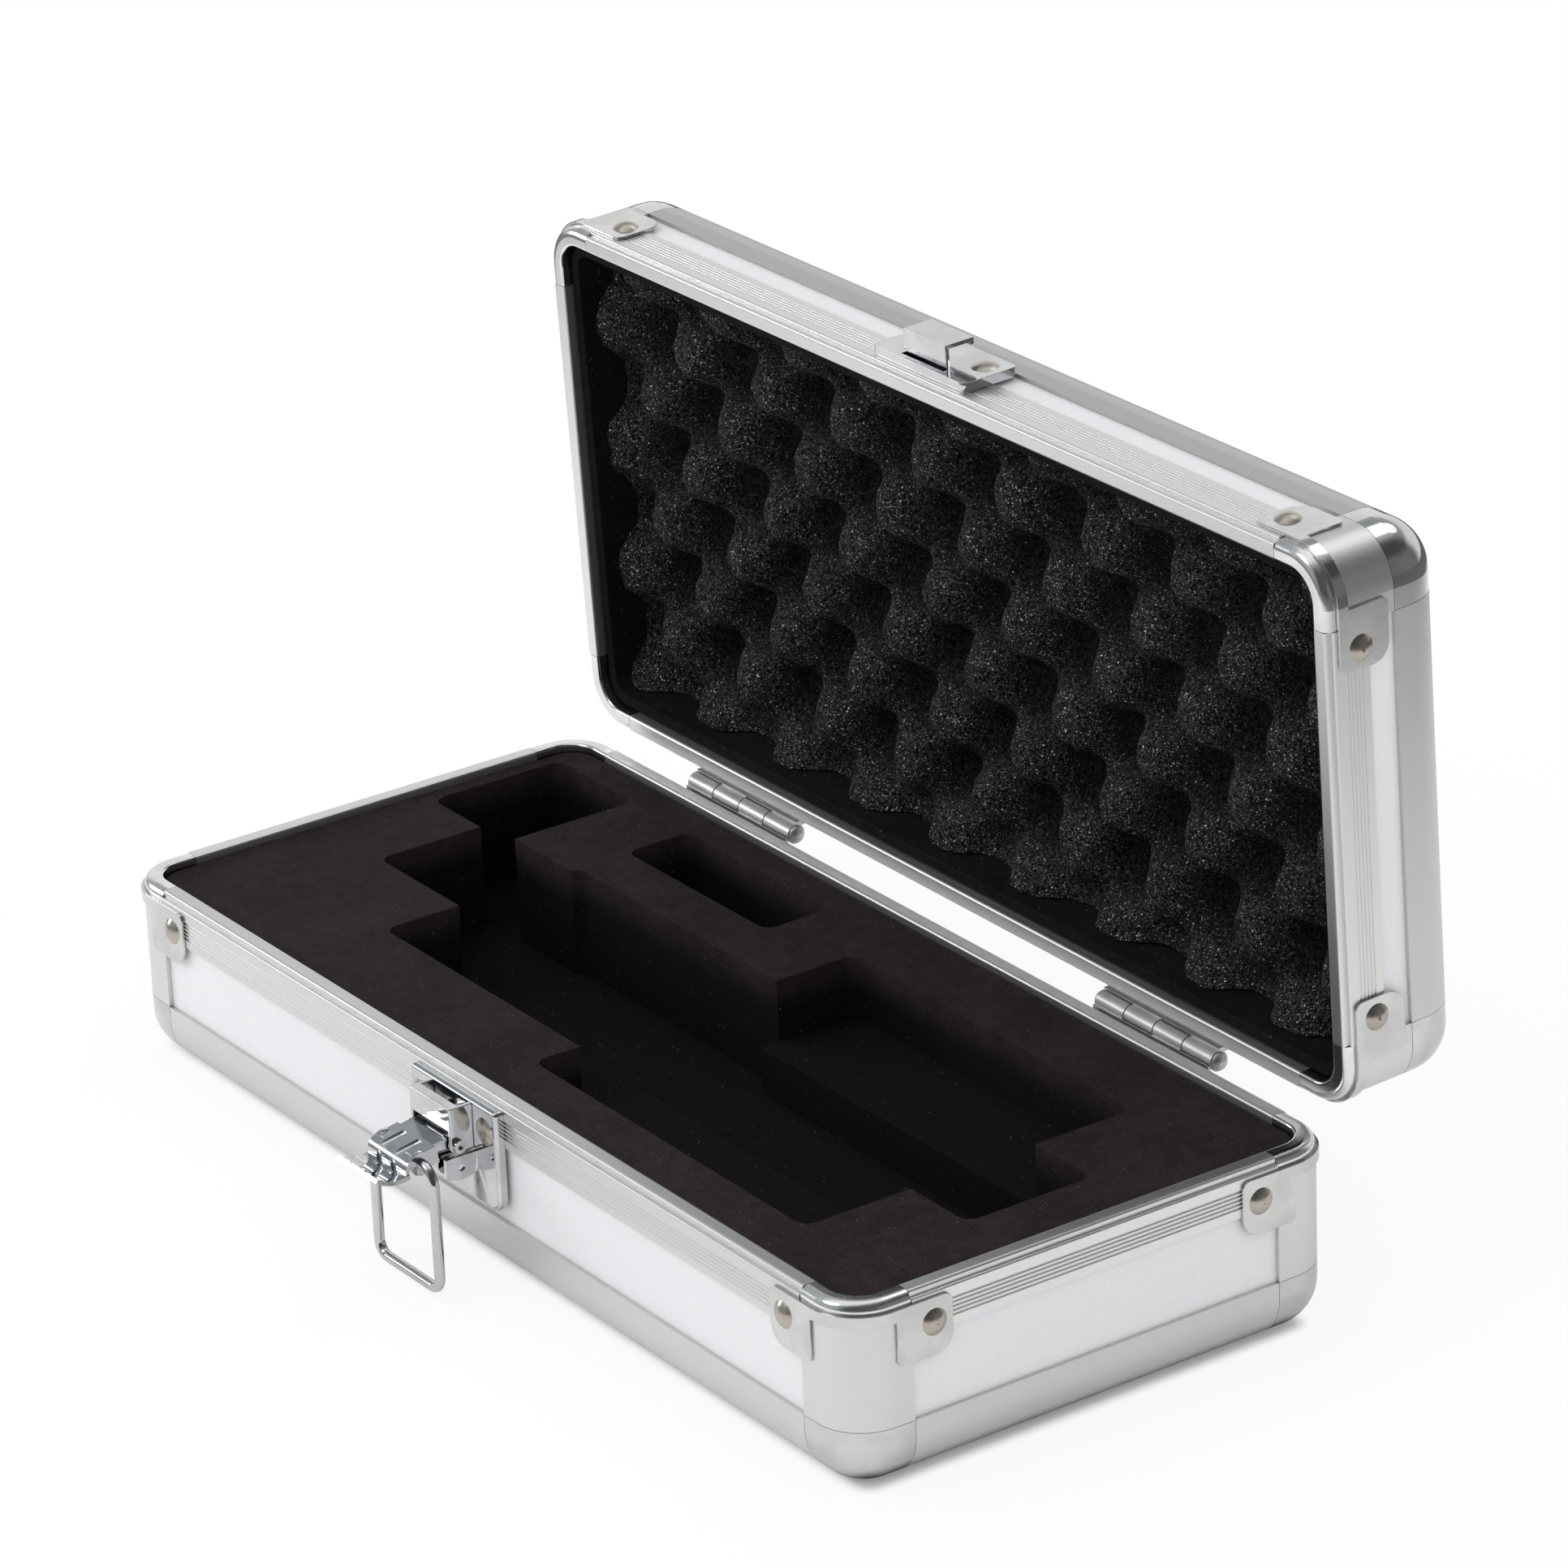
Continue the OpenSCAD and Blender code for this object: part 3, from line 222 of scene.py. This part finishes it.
# %% Lamps
def soft_lamp(name, place, aim, size, power):
    lamp = bpy.data.objects.new(name, bpy.data.lights.new(name, "AREA"))
    bpy.context.scene.collection.objects.link(lamp)
    lamp.data.shape, lamp.data.size, lamp.data.energy = "DISK", size, power
    lamp.location = place
    lamp.rotation_euler = (Vector(aim) - Vector(place)).to_track_quat("-Z", "Y").to_euler()


soft_lamp("key_lamp", (-0.45, -1.35, 1.55), aim=(0, 0, 0.05), size=0.9, power=6.5)
soft_lamp("side_lamp", (-1.30, -0.75, 0.45), aim=(0, 0, 0.08), size=0.5, power=3.5)
soft_lamp("back_lamp", (-0.2, 1.1, 1.5), aim=(0, 0, 0.05), size=0.8, power=2)
print("lamps: key, side, back")

# %% [markdown]
# ### Floor
# The floor has to be white and still hold a shadow, so for the camera alone its paper is mixed
# with a plain glow, which stops short of the case's foot. In reflections the paper is dark grey
# beside the case, a painted shadow for the metal's lower edges to mirror, and dark grey again
# far away, which gives the bright metal its lower dark bands.

# %% Floor
FLOOR_HALF = 6
bm = bmesh.new()
bmesh.ops.create_grid(bm, x_segments=2, y_segments=2, size=FLOOR_HALF)
floor = bpy.data.objects.new("floor", bpy.data.meshes.new("floor"))
bm.to_mesh(floor.data)
bm.free()
bpy.context.scene.collection.objects.link(floor)
print("floor laid,", 2 * FLOOR_HALF, "m wide")

# %% Floor paper
FOOT_HALF = (123.2 * MM, 49.5 * MM)
PAPER = (shade(0.93, 0.93, 0.93), shade(0.95, 0.95, 0.95))
DIM_PAPER = shade(0.16, 0.16, 0.16)
GLOW_AT_FOOT, GLOW_NEAR, GLOW_FAR = 0.15, 0.72, 0.13

paper = bpy.data.materials.new("floor_paper")
paper.use_nodes = True
sheet = Wire(paper.node_tree)
where = sheet.add("TexCoord", out="Object")
x, y, _ = where.axes()
past_end = (abs(x) - FOOT_HALF[0]) | 0.0
past_side = (abs(y) - FOOT_HALF[1]) | 0.0
clear = (past_end * past_end + past_side * past_side) ** 0.5
away = sheet.add("VectorMath", {"operation": "LENGTH"}, {0: where}, out=1)
# Painted shadow: in reflections the paper turns dark grey within 6 mm of the case's foot.
painted_shadow = 1.0 - clear.between(0.0, 6.0 * MM)
dim = sheet.ray("Glossy") * (away.between(0.40, 0.58) | painted_shadow)
dull = sheet.tree.nodes["Principled BSDF"]
sheet.join(dull, {
    "Base Color": dim.blend(where.noise(scale=40.0, detail=3.0).blend(*PAPER), DIM_PAPER),
    "Roughness": 0.9,
    "Specular IOR Level": 0.0})
glow = sheet.add("Emission", sockets={"Color": WHITE, "Strength": 1.0})
lift = sheet.ray("Camera") * (GLOW_AT_FOOT + GLOW_NEAR * clear.between(1.5 * MM, 5.5 * MM)
                              + GLOW_FAR * clear.between(0.02, 0.50))
mixed = sheet.add("MixShader", sockets={0: lift, 1: Wire(sheet.tree, dull.outputs[0]), 2: glow})
sheet.join(sheet.tree.nodes["Material Output"], {"Surface": mixed})
floor.data.materials.append(paper)
print("floor paper:", paper.name)

# %% [markdown]
# ## Finishes of the hard parts
# Each finish starts from the piece's own coordinates in metres, so a grain of 0.4 mm is a
# noise scale in the thousands. Noise moves the colour and the roughness a little and tilts the
# normal through a shallow bump. One plain colour would look like a drawing of the material.

# %% A finish and its parts
def new_finish(name):
    material = bpy.data.materials.new(name)
    material.use_nodes = True
    where = Wire(material.node_tree).add("TexCoord", out="Object")
    return material, where, material.node_tree.nodes["Principled BSDF"]


def bumped(height, strength, distance):
    sockets = {"Height": height, "Strength": strength, "Distance": distance}
    return height.add("Bump", sockets=sockets)


print("finish helpers: new_finish, bumped")

# %% [markdown]
# ### Satin aluminium
# The rails and corner posts are aluminium that was drawn through a die and then anodised, so
# fine lines run along them. The noise is squeezed across these lines, by a product with a
# different number for each axis. On the lid a Mapping node first turns the coordinates with
# the lid, so that the lines still follow its rails. The hinge joint runs from open to shut, so
# its range tells how far the lid stands open. Rails that face different ways take the studio's
# light differently, so each kind has its own tone: painted light and shade, lighter and darker
# copies of one aluminium.

# %% Satin aluminium
lid_hinge = next(joint for joint in frame["joints"] if joint["name"] == "lid_hinge")
LID_TURN = -math.radians(lid_hinge["range_deg"][1])
ACROSS_LINES, ALONG_LINES = 2600.0, 14.0
SATIN_DARK, SATIN_PALE = (0.605, 0.602, 0.590), (0.680, 0.676, 0.664)


def satin_aluminium(name, run, turned, tone):
    material, where, body = new_finish(name)
    drawn = [ACROSS_LINES] * 3
    drawn[run] = ALONG_LINES
    turn = (LID_TURN if turned else 0.0, 0.0, 0.0)
    along = where.add("Mapping", {"vector_type": "TEXTURE"}, {"Vector": where, "Rotation": turn})
    squeezed = along.add("VectorMath", {"operation": "MULTIPLY"}, {0: along, 1: drawn})
    lines = squeezed.noise(scale=1.0, detail=2.0)
    cloud = where.noise(scale=38.0, detail=3.0)
    specks = where.noise(scale=5200.0, detail=1.0)
    dark, pale = (shade(*(v * tone for v in colour)) for colour in (SATIN_DARK, SATIN_PALE))
    where.join(body, {
        "Base Color": (0.5 * lines + 0.5 * cloud).blend(dark, pale),
        "Roughness": 0.30 + 0.16 * lines + 0.04 * cloud,
        "Normal": bumped(0.6 * lines + 0.4 * specks, 0.04, 0.06 * MM),
        "Metallic": 1.0})
    return material


print("lid stands open by", lid_hinge["range_deg"][1], "degrees")

# %% Satin rails and posts
RUNS = {"long": 0, "end": 1, "post": 2}
# Painted light and shade: each kind of rail and post is a lighter or darker copy of one aluminium.
PAINTED_LIGHT_TONES = {
    ("base", "edge", "long"): 1.08, ("base", "edge", "end"): 1.06,
    ("base", "rim", "long"): 1.08, ("base", "rim", "end"): 1.26, ("base", "corner", "post"): 1.10,
    ("lid", "edge", "long"): 0.80, ("lid", "edge", "end"): 1.02,
    ("lid", "rim", "long"): 1.26, ("lid", "rim", "end"): 1.26, ("lid", "corner", "post"): 1.10,
}
satin = {
    key: satin_aluminium("satin_" + "_".join(key), RUNS[key[2]], key[0] == "lid", tone)
    for key, tone in PAINTED_LIGHT_TONES.items()
}
print("satin finishes:", len(satin))

# %% [markdown]
# ### Bright metal
# The corners and brackets are polished, the latch and the hinges are plated steel, and the
# rivets are nickel. All of them mirror the studio, so tone and roughness tell them apart. Thin
# sheet is never quite flat: a slow ripple in the normal bends the reflections, which would
# otherwise look too perfect, and scuffs roughen small spots.

# %% Bright plated steel
def bright_steel(name, tone, rough, dents=0.06):
    material, where, body = new_finish(name)
    cloud = where.noise(scale=120.0, detail=4.0)
    ripple = where.noise(scale=420.0, detail=2.0)
    scuffs = where.noise(scale=2400.0, detail=4.0, Distortion=1.5)
    dark = (0.86 * v for v in tone)
    where.join(body, {
        "Base Color": cloud.between(0.35, 0.65).blend(shade(*dark), shade(*tone)),
        "Roughness": rough + 0.10 * scuffs.between(0.52, 0.75) + 0.03 * cloud,
        "Normal": bumped(0.7 * ripple + 0.3 * scuffs, dents, 0.12 * MM),
        "Metallic": 1.0})
    return material


polished = bright_steel("polished_steel", (0.66, 0.658, 0.645), rough=0.08)
# Painted highlight: the rim corners are a paler copy of the polished steel, and rougher.
lit_rim_steel = bright_steel("lit_rim_steel", (0.82, 0.818, 0.805), rough=0.17, dents=0.03)
plated = bright_steel("bright_steel", (0.62, 0.628, 0.64), rough=0.05)
hinge_steel = bright_steel("hinge_steel", (0.56, 0.555, 0.545), rough=0.34, dents=0.012)
rivet_nickel = bright_steel("rivet_nickel", (0.50, 0.46, 0.40), rough=0.26)
print("bright finishes: corners, rim corners, latch, hinges, rivets")

# %% [markdown]
# ### White panels
# The panels are board with a white laminate that is embossed with fine pebbles. Modelled
# pebbles would need millions of faces, and only their shading shows at this size. Smooth
# Voronoi cells therefore make them in the bump, and darken the hollows a little in the colour,
# as painted shade.

# %% White pebbled panel
def pebbled_panel(name):
    material, where, body = new_finish(name)
    pebbles = where.add("TexVoronoi", {"feature": "SMOOTH_F1"},
                        {"Vector": where, "Scale": 1900.0, "Smoothness": 0.6})
    fine = where.noise(scale=4200.0, detail=2.0)
    cloud = where.noise(scale=22.0, detail=2.0)
    # Painted shade: the hollows between the pebbles are a little darker.
    tone = (0.7 * pebbles + 0.3 * cloud).between(0.1, 0.85)
    where.join(body, {
        "Base Color": tone.blend(shade(0.795, 0.780, 0.810), shade(0.755, 0.740, 0.770)),
        "Roughness": 0.42 + 0.16 * fine,
        "Normal": bumped(1.0 - (0.75 * pebbles + 0.25 * fine), 0.35, 0.1 * MM),
        "Specular IOR Level": 0.4})
    return material


panel_white = pebbled_panel("white_panel")
print("panel finish:", panel_white.name)

# %% [markdown]
# ### Which piece gets which
# The names of the CAD solids say what each piece is, so a few rules on the name choose its
# finish. The solid's mesh stays as it is: only its material changes.

# %% Dress the CAD solids
def finish_for(name):
    part = "lid" if name.startswith("lid_") else "base"
    if name.endswith("_panel"):
        return panel_white
    if name.endswith("rivets"):
        return rivet_nickel
    if "hinge" in name:
        return hinge_steel
    if "_rail" in name:
        kind = "edge" if "edge" in name else "rim"
        return satin[part, kind, "end" if ("left" in name or "right" in name) else "long"]
    if "posts" in name:
        return satin[part, "corner", "post"]
    if "rim_corners" in name:
        return lit_rim_steel
    if "brackets" in name or "corners" in name:
        return polished
    return plated


for name, solid in nodes.items():
    solid.data.materials.clear()
    solid.data.materials.append(finish_for(name))
print("finishes on", len(nodes), "solids")

# %% [markdown]
# ## Foam finishes
# Foam is dull, so most of its look is bump and a little colour from two or three sizes of
# noise. Dust and painted glints on one foam, and painted glints of broken cell walls on the
# other, are pale dots. They could be scattered as tiny meshes, but a pattern is far lighter:
# each Voronoi cell draws a random number from its own colour, and a high power keeps only the
# few that are close to 1.

# %% Dots in a few of the cells
def dots(where, scale, full, gone, power):
    spot = where.cells(scale)
    draw = where.add("TexWhiteNoise", sockets={"Vector": spot.also(1)})
    return 1.0 - spot.between(full, gone), draw ** power


print("foam helper: dots")

# %% [markdown]
# ### Closed-cell foam
# The base holds dense EVA foam: matt and brown-black, with a fine closed grain, a little dust
# and painted glints. Deep in the pockets the colour is darker, as painted shade, which the
# finish reads from the Z of the piece's own coordinates. The lid is lined with a blacker sheet
# of the same kind.

# %% EVA foam
DUST_AND_GLINT = shade(0.30, 0.28, 0.27)
LINING_DARK = shade(0.0040, 0.0034, 0.0034)


def eva_foam(name, dark, pale, painted_shade, low, high):
    material, where, body = new_finish(name)
    # Painted shade: the foam darkens from the high Z down to the low Z.
    raised = where.axes()[2].between(low, high)
    grain = where.noise(scale=2600.0, detail=4.0, Roughness=0.65)
    cloud = where.noise(scale=55.0, detail=4.0)
    rub = where.noise(scale=260.0, detail=5.0)
    tone = (0.60 * grain + 0.2 * cloud + 0.2 * rub).between(0.38, 0.62)
    plain = raised.blend(painted_shade, tone.blend(dark, pale))
    # Pale dots of dust and painted glints.
    spot, chosen = dots(where, 1300.0, full=0.10, gone=0.34, power=40.0)
    where.join(body, {
        "Base Color": (0.4 * (spot * chosen)).blend(plain, DUST_AND_GLINT),
        "Roughness": 0.80 + 0.16 * grain,
        "Normal": bumped(0.7 * grain + 0.3 * where.cells(3400.0), 0.75, 0.22 * MM),
        "Specular IOR Level": 0.12})
    return material


eva = eva_foam("eva_foam", dark=shade(0.0140, 0.0105, 0.0097), pale=shade(0.0330, 0.0250, 0.0230),
               painted_shade=shade(0.0060, 0.0046, 0.0043), low=30.0 * MM, high=38.2 * MM)
lining = eva_foam("lining_foam", dark=LINING_DARK, pale=shade(0.0110, 0.0094, 0.0094),
                  painted_shade=LINING_DARK, low=20.0 * MM, high=30.0 * MM)
print("closed-cell foams:", eva.name, lining.name)

# %% [markdown]
# ### Open-cell foam
# The lid's pad is open-cell foam: almost black, and its broken cell walls catch the light as
# tiny specks of three sizes, painted as glints in its colour. Its hollows are painted darker
# than its bumps, as painted shade, and the glints fade there. The lid stands open, so Z can't
# tell a hollow from a bump, and the finish reads a height that the pad's mesh keeps.

# %% Open-cell foam
GLINTS = ((1700.0, 26.0, 1.0), (2500.0, 13.0, 0.9), (3600.0, 6.0, 0.7))
GLINT = shade(0.80, 0.79, 0.78)


def open_cell_foam(name):
    material, where, body = new_finish(name)
    cloud = where.noise(scale=90.0, detail=4.0)
    pores = where.noise(scale=1500.0, detail=4.0, Roughness=0.7)
    glints = 0.0
    for scale, power, gain in GLINTS:
        spot, chosen = dots(where, scale, full=0.18, gone=0.42, power=power)
        glints = glints + gain * spot * chosen
    height = where.add("Attribute", {"attribute_name": "height"}, out=2)
    # Painted shade: the pad is darker in its hollows, and its glints fade there.
    raised = height.between(0.10, 0.95)
    tone = pores.between(0.40, 0.66) * (0.22 + 0.24 * cloud + 0.54 * raised)
    plain = tone.blend(shade(0.0014, 0.0012, 0.0012), shade(0.0430, 0.0405, 0.0395))
    where.join(body, {
        "Base Color": (glints * (0.12 + 0.88 * raised)).blend(plain, GLINT),
        "Roughness": 0.85 - 0.30 * glints,
        "Normal": bumped(pores, 0.9, 0.6 * MM),
        "Specular IOR Level": 0.10})
    return material


crate = open_cell_foam("open_cell_foam")
print("open-cell foam:", crate.name)

# %% [markdown]
# ## Foam blocks and linings
# The foam layers are die-cut sheets. Their outlines are exact in the CAD frame, so each piece
# starts as a copy of its solid: the loose triangles are merged, the flat faces are joined
# again, and the bevel operator softens the edges, because a cut in foam is never sharp. A
# Weighted Normal modifier keeps the flat faces flat in the shading and lets only the narrow
# bevels turn the light.

# %% Add a piece
SHARP = math.radians(50)


def add_piece(name, bm, finish, body, slot, *solids):
    mesh = bpy.data.meshes.new(name)
    for face in bm.faces:
        face.smooth = True
    bm.to_mesh(mesh)
    bm.free()
    mesh.set_sharp_from_angle(angle=SHARP)
    piece = bpy.data.objects.new(name, mesh)
    bpy.context.scene.collection.objects.link(piece)
    mesh.materials.append(finish)
    piece.modifiers.new("even_shading", "WEIGHTED_NORMAL").keep_sharp = True
    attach(piece, body)
    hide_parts(*solids)
    print(name, len(mesh.polygons), "faces")
    return piece


print("piece helper: add_piece")

# %% Eased copies
MERGE = 0.01 * MM
FLAT, CRISP = math.radians(0.5), math.radians(40)


def merged(solid):
    bm = bmesh.new()
    bm.from_mesh(nodes[solid].data)
    bmesh.ops.remove_doubles(bm, verts=bm.verts, dist=MERGE)
    bmesh.ops.dissolve_limit(bm, angle_limit=FLAT, verts=bm.verts, edges=bm.edges)
    return bm


def crisp(bm):
    edges = [edge for edge in bm.edges if edge.is_manifold and edge.is_convex]
    return [edge for edge in edges if edge.calc_face_angle() > CRISP]


def round_off(bm, edges, radius, steps):
    bmesh.ops.bevel(bm, geom=edges, offset=radius, offset_type="OFFSET", affect="EDGES",
                    segments=steps, profile=0.5, material=-1, clamp_overlap=True)
    return bm


def eased(solid, radius, steps):
    bm = merged(solid)
    return round_off(bm, crisp(bm), radius, steps)


print("edge helpers: merged, crisp, round_off, eased")

# %% Foam
for solid, name, body, radius, finish in (
        ("base_foam_top", "pocket_sheet", "base", 0.6 * MM, eva),
        ("base_foam_middle", "pocket_block", "base", 0.6 * MM, eva),
        ("base_foam_floor", "pocket_floor", "base", 0.4 * MM, eva),
        ("lid_liner_sheet", "lid_lining", "lid", 0.4 * MM, lining),
        ("lid_liner_strip", "lid_wall_lining", "lid", 0.5 * MM, lining)):
    layer = add_piece(name, eased(solid, radius, steps=3), finish, body, "eva_foam", solid)

# %% [markdown]
# ## Pressed sheet metal
# A press leaves a small round along every edge of a plate, and on bright metal that round is
# what the eye reads: a thin line of light or dark. The latch, the keeper and the corner
# brackets are therefore copied and eased in the same way, by less than half their thickness.
# The latch plate is pillowed as well: the outer rim of its front face gets a wider round first.

# %% Latch plate
PLATE_FACE, LEVEL = -60.1 * MM, 0.02 * MM
RIM_FROM_X, RIM_FROM_MIDDLE = 13.6 * MM, 7.5 * MM
RIM_ROUND, PLATE_ROUND = 1.5 * MM, 0.25 * MM
plate_low, plate_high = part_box("latch_plate")
plate_middle = (plate_low[2] + plate_high[2]) / 2


def on_rim(vert):
    x, y, z = vert.co
    outside = abs(x) > RIM_FROM_X or abs(z - plate_middle) > RIM_FROM_MIDDLE
    return outside and abs(y - PLATE_FACE) < LEVEL


bm = merged("latch_plate")
rim = [edge for edge in crisp(bm) if all(on_rim(vert) for vert in edge.verts)]
print("rim of the plate:", len(rim), "edges")
round_off(bm, rim, RIM_ROUND, steps=6)
round_off(bm, crisp(bm), PLATE_ROUND, steps=2)
add_piece("pressed_plate", bm, plated, "base", "bright_steel", "latch_plate")

# %% Hood, lever, keeper and brackets
for solid, name, body, radius in (
        ("latch_hood", "pressed_hood", "base", 0.25 * MM),
        ("latch_lever", "pressed_lever", "lever", 0.20 * MM),
        ("keeper", "pressed_keeper", "lid", 0.35 * MM)):
    add_piece(name, eased(solid, radius, steps=3), plated, body, "bright_steel", solid)
for solid, name, body in (
        ("base_corner_brackets", "base_pressed_brackets", "base"),
        ("lid_corner_brackets", "lid_pressed_brackets", "lid")):
    add_piece(name, eased(solid, 0.20 * MM, steps=2), polished, body, "aluminium", solid)

# %% [markdown]
# ## The convoluted pad
# The lid's foam is cut on a roller that leaves staggered bumps and hollows. A fine grid whose
# points are lifted by two crossed waves gives them. The sine of the wave makes the bumps full
# and the valleys round, and a little slow noise keeps any two bumps from being the same. The
# pad is cut a little large, so the walls of the lid press its border up and flatten the outer
# bumps. Each point also keeps its height, which the finish reads to paint shade into the
# hollows. The grid is modelled as in a shut lid, then its sides are drawn down and it turns
# with the lid.

# %% Pad
PAD_HALF = (122.4 * MM, 50.4 * MM)
PITCH, BUMP, SHEET = 28.2 * MM, 5.6 * MM, 4.5 * MM
SHIFT = (5.0 * MM, 8.5 * MM)
FULLNESS = 0.97
DRIFT, DRIFT_SCALE = 1.5 * MM, 34
BORDER, BORDER_RISE, BORDER_FLATTEN = 16.0 * MM, 4.5 * MM, 0.45
LUMPS = ((0.70 * MM, 150), (0.45 * MM, 480), (0.22 * MM, 1100))


def wave(distance):
    return math.cos(2 * math.pi * distance / PITCH)


def pad_height(x, y):
    place = Vector((x, y, 0))
    drift = DRIFT * noise.noise(place * DRIFT_SCALE)
    swell = wave(x - SHIFT[0] + drift) * wave(y - SHIFT[1] + drift)
    full = FULLNESS * math.sin(0.5 * math.pi * swell)
    inside = min(PAD_HALF[0] - abs(x), PAD_HALF[1] - abs(y)) / BORDER
    edge = (1 - min(inside, 1)) ** 2
    lumps = sum(rise * noise.noise(place * scale) for rise, scale in LUMPS)
    return SHEET + BUMP * (1 + full * (1 - BORDER_FLATTEN * edge)) + BORDER_RISE * edge + lumps


print("pad waves every", PITCH)

# %% Lift the grid
PAD_GRID = (430, 176)
bm = bmesh.new()
bmesh.ops.create_grid(bm, x_segments=PAD_GRID[0], y_segments=PAD_GRID[1], size=1)
height = bm.verts.layers.float.new("height")
for vert in bm.verts:
    x, y = vert.co.x * PAD_HALF[0], vert.co.y * PAD_HALF[1]
    vert.co = (x, y, pad_height(x, y))
    vert[height] = (vert.co.z - SHEET) / (2 * BUMP)
print("grid lifted:", len(bm.verts), "points")

# %% Close the pad and lay it in the lid
PAD_FLOOR = 63.8 * MM


def only(kind, items):
    return [item for item in items if isinstance(item, kind)]


rim = [edge for edge in bm.edges if edge.is_boundary]
skirt = bmesh.ops.extrude_edge_only(bm, edges=rim)["geom"]
for vert in only(bmesh.types.BMVert, skirt):
    vert.co.z = 0
bmesh.ops.contextual_create(bm, geom=only(bmesh.types.BMEdge, skirt))
hinge_at = Vector(lid_hinge["pos_m"])
to_hinge, from_hinge = Matrix.Translation(hinge_at), Matrix.Translation(-hinge_at)
open_lid = to_hinge @ Matrix.Rotation(LID_TURN, 4, "X") @ from_hinge
shut = Matrix.Translation((0, 0, PAD_FLOOR)) @ Matrix.Diagonal((1, 1, -1, 1))
bmesh.ops.transform(bm, matrix=open_lid @ shut, verts=bm.verts)
bmesh.ops.recalc_face_normals(bm, faces=bm.faces)
pad = add_piece("convoluted_pad", bm, crate, "lid", "crate_foam", "lid_foam_pad")
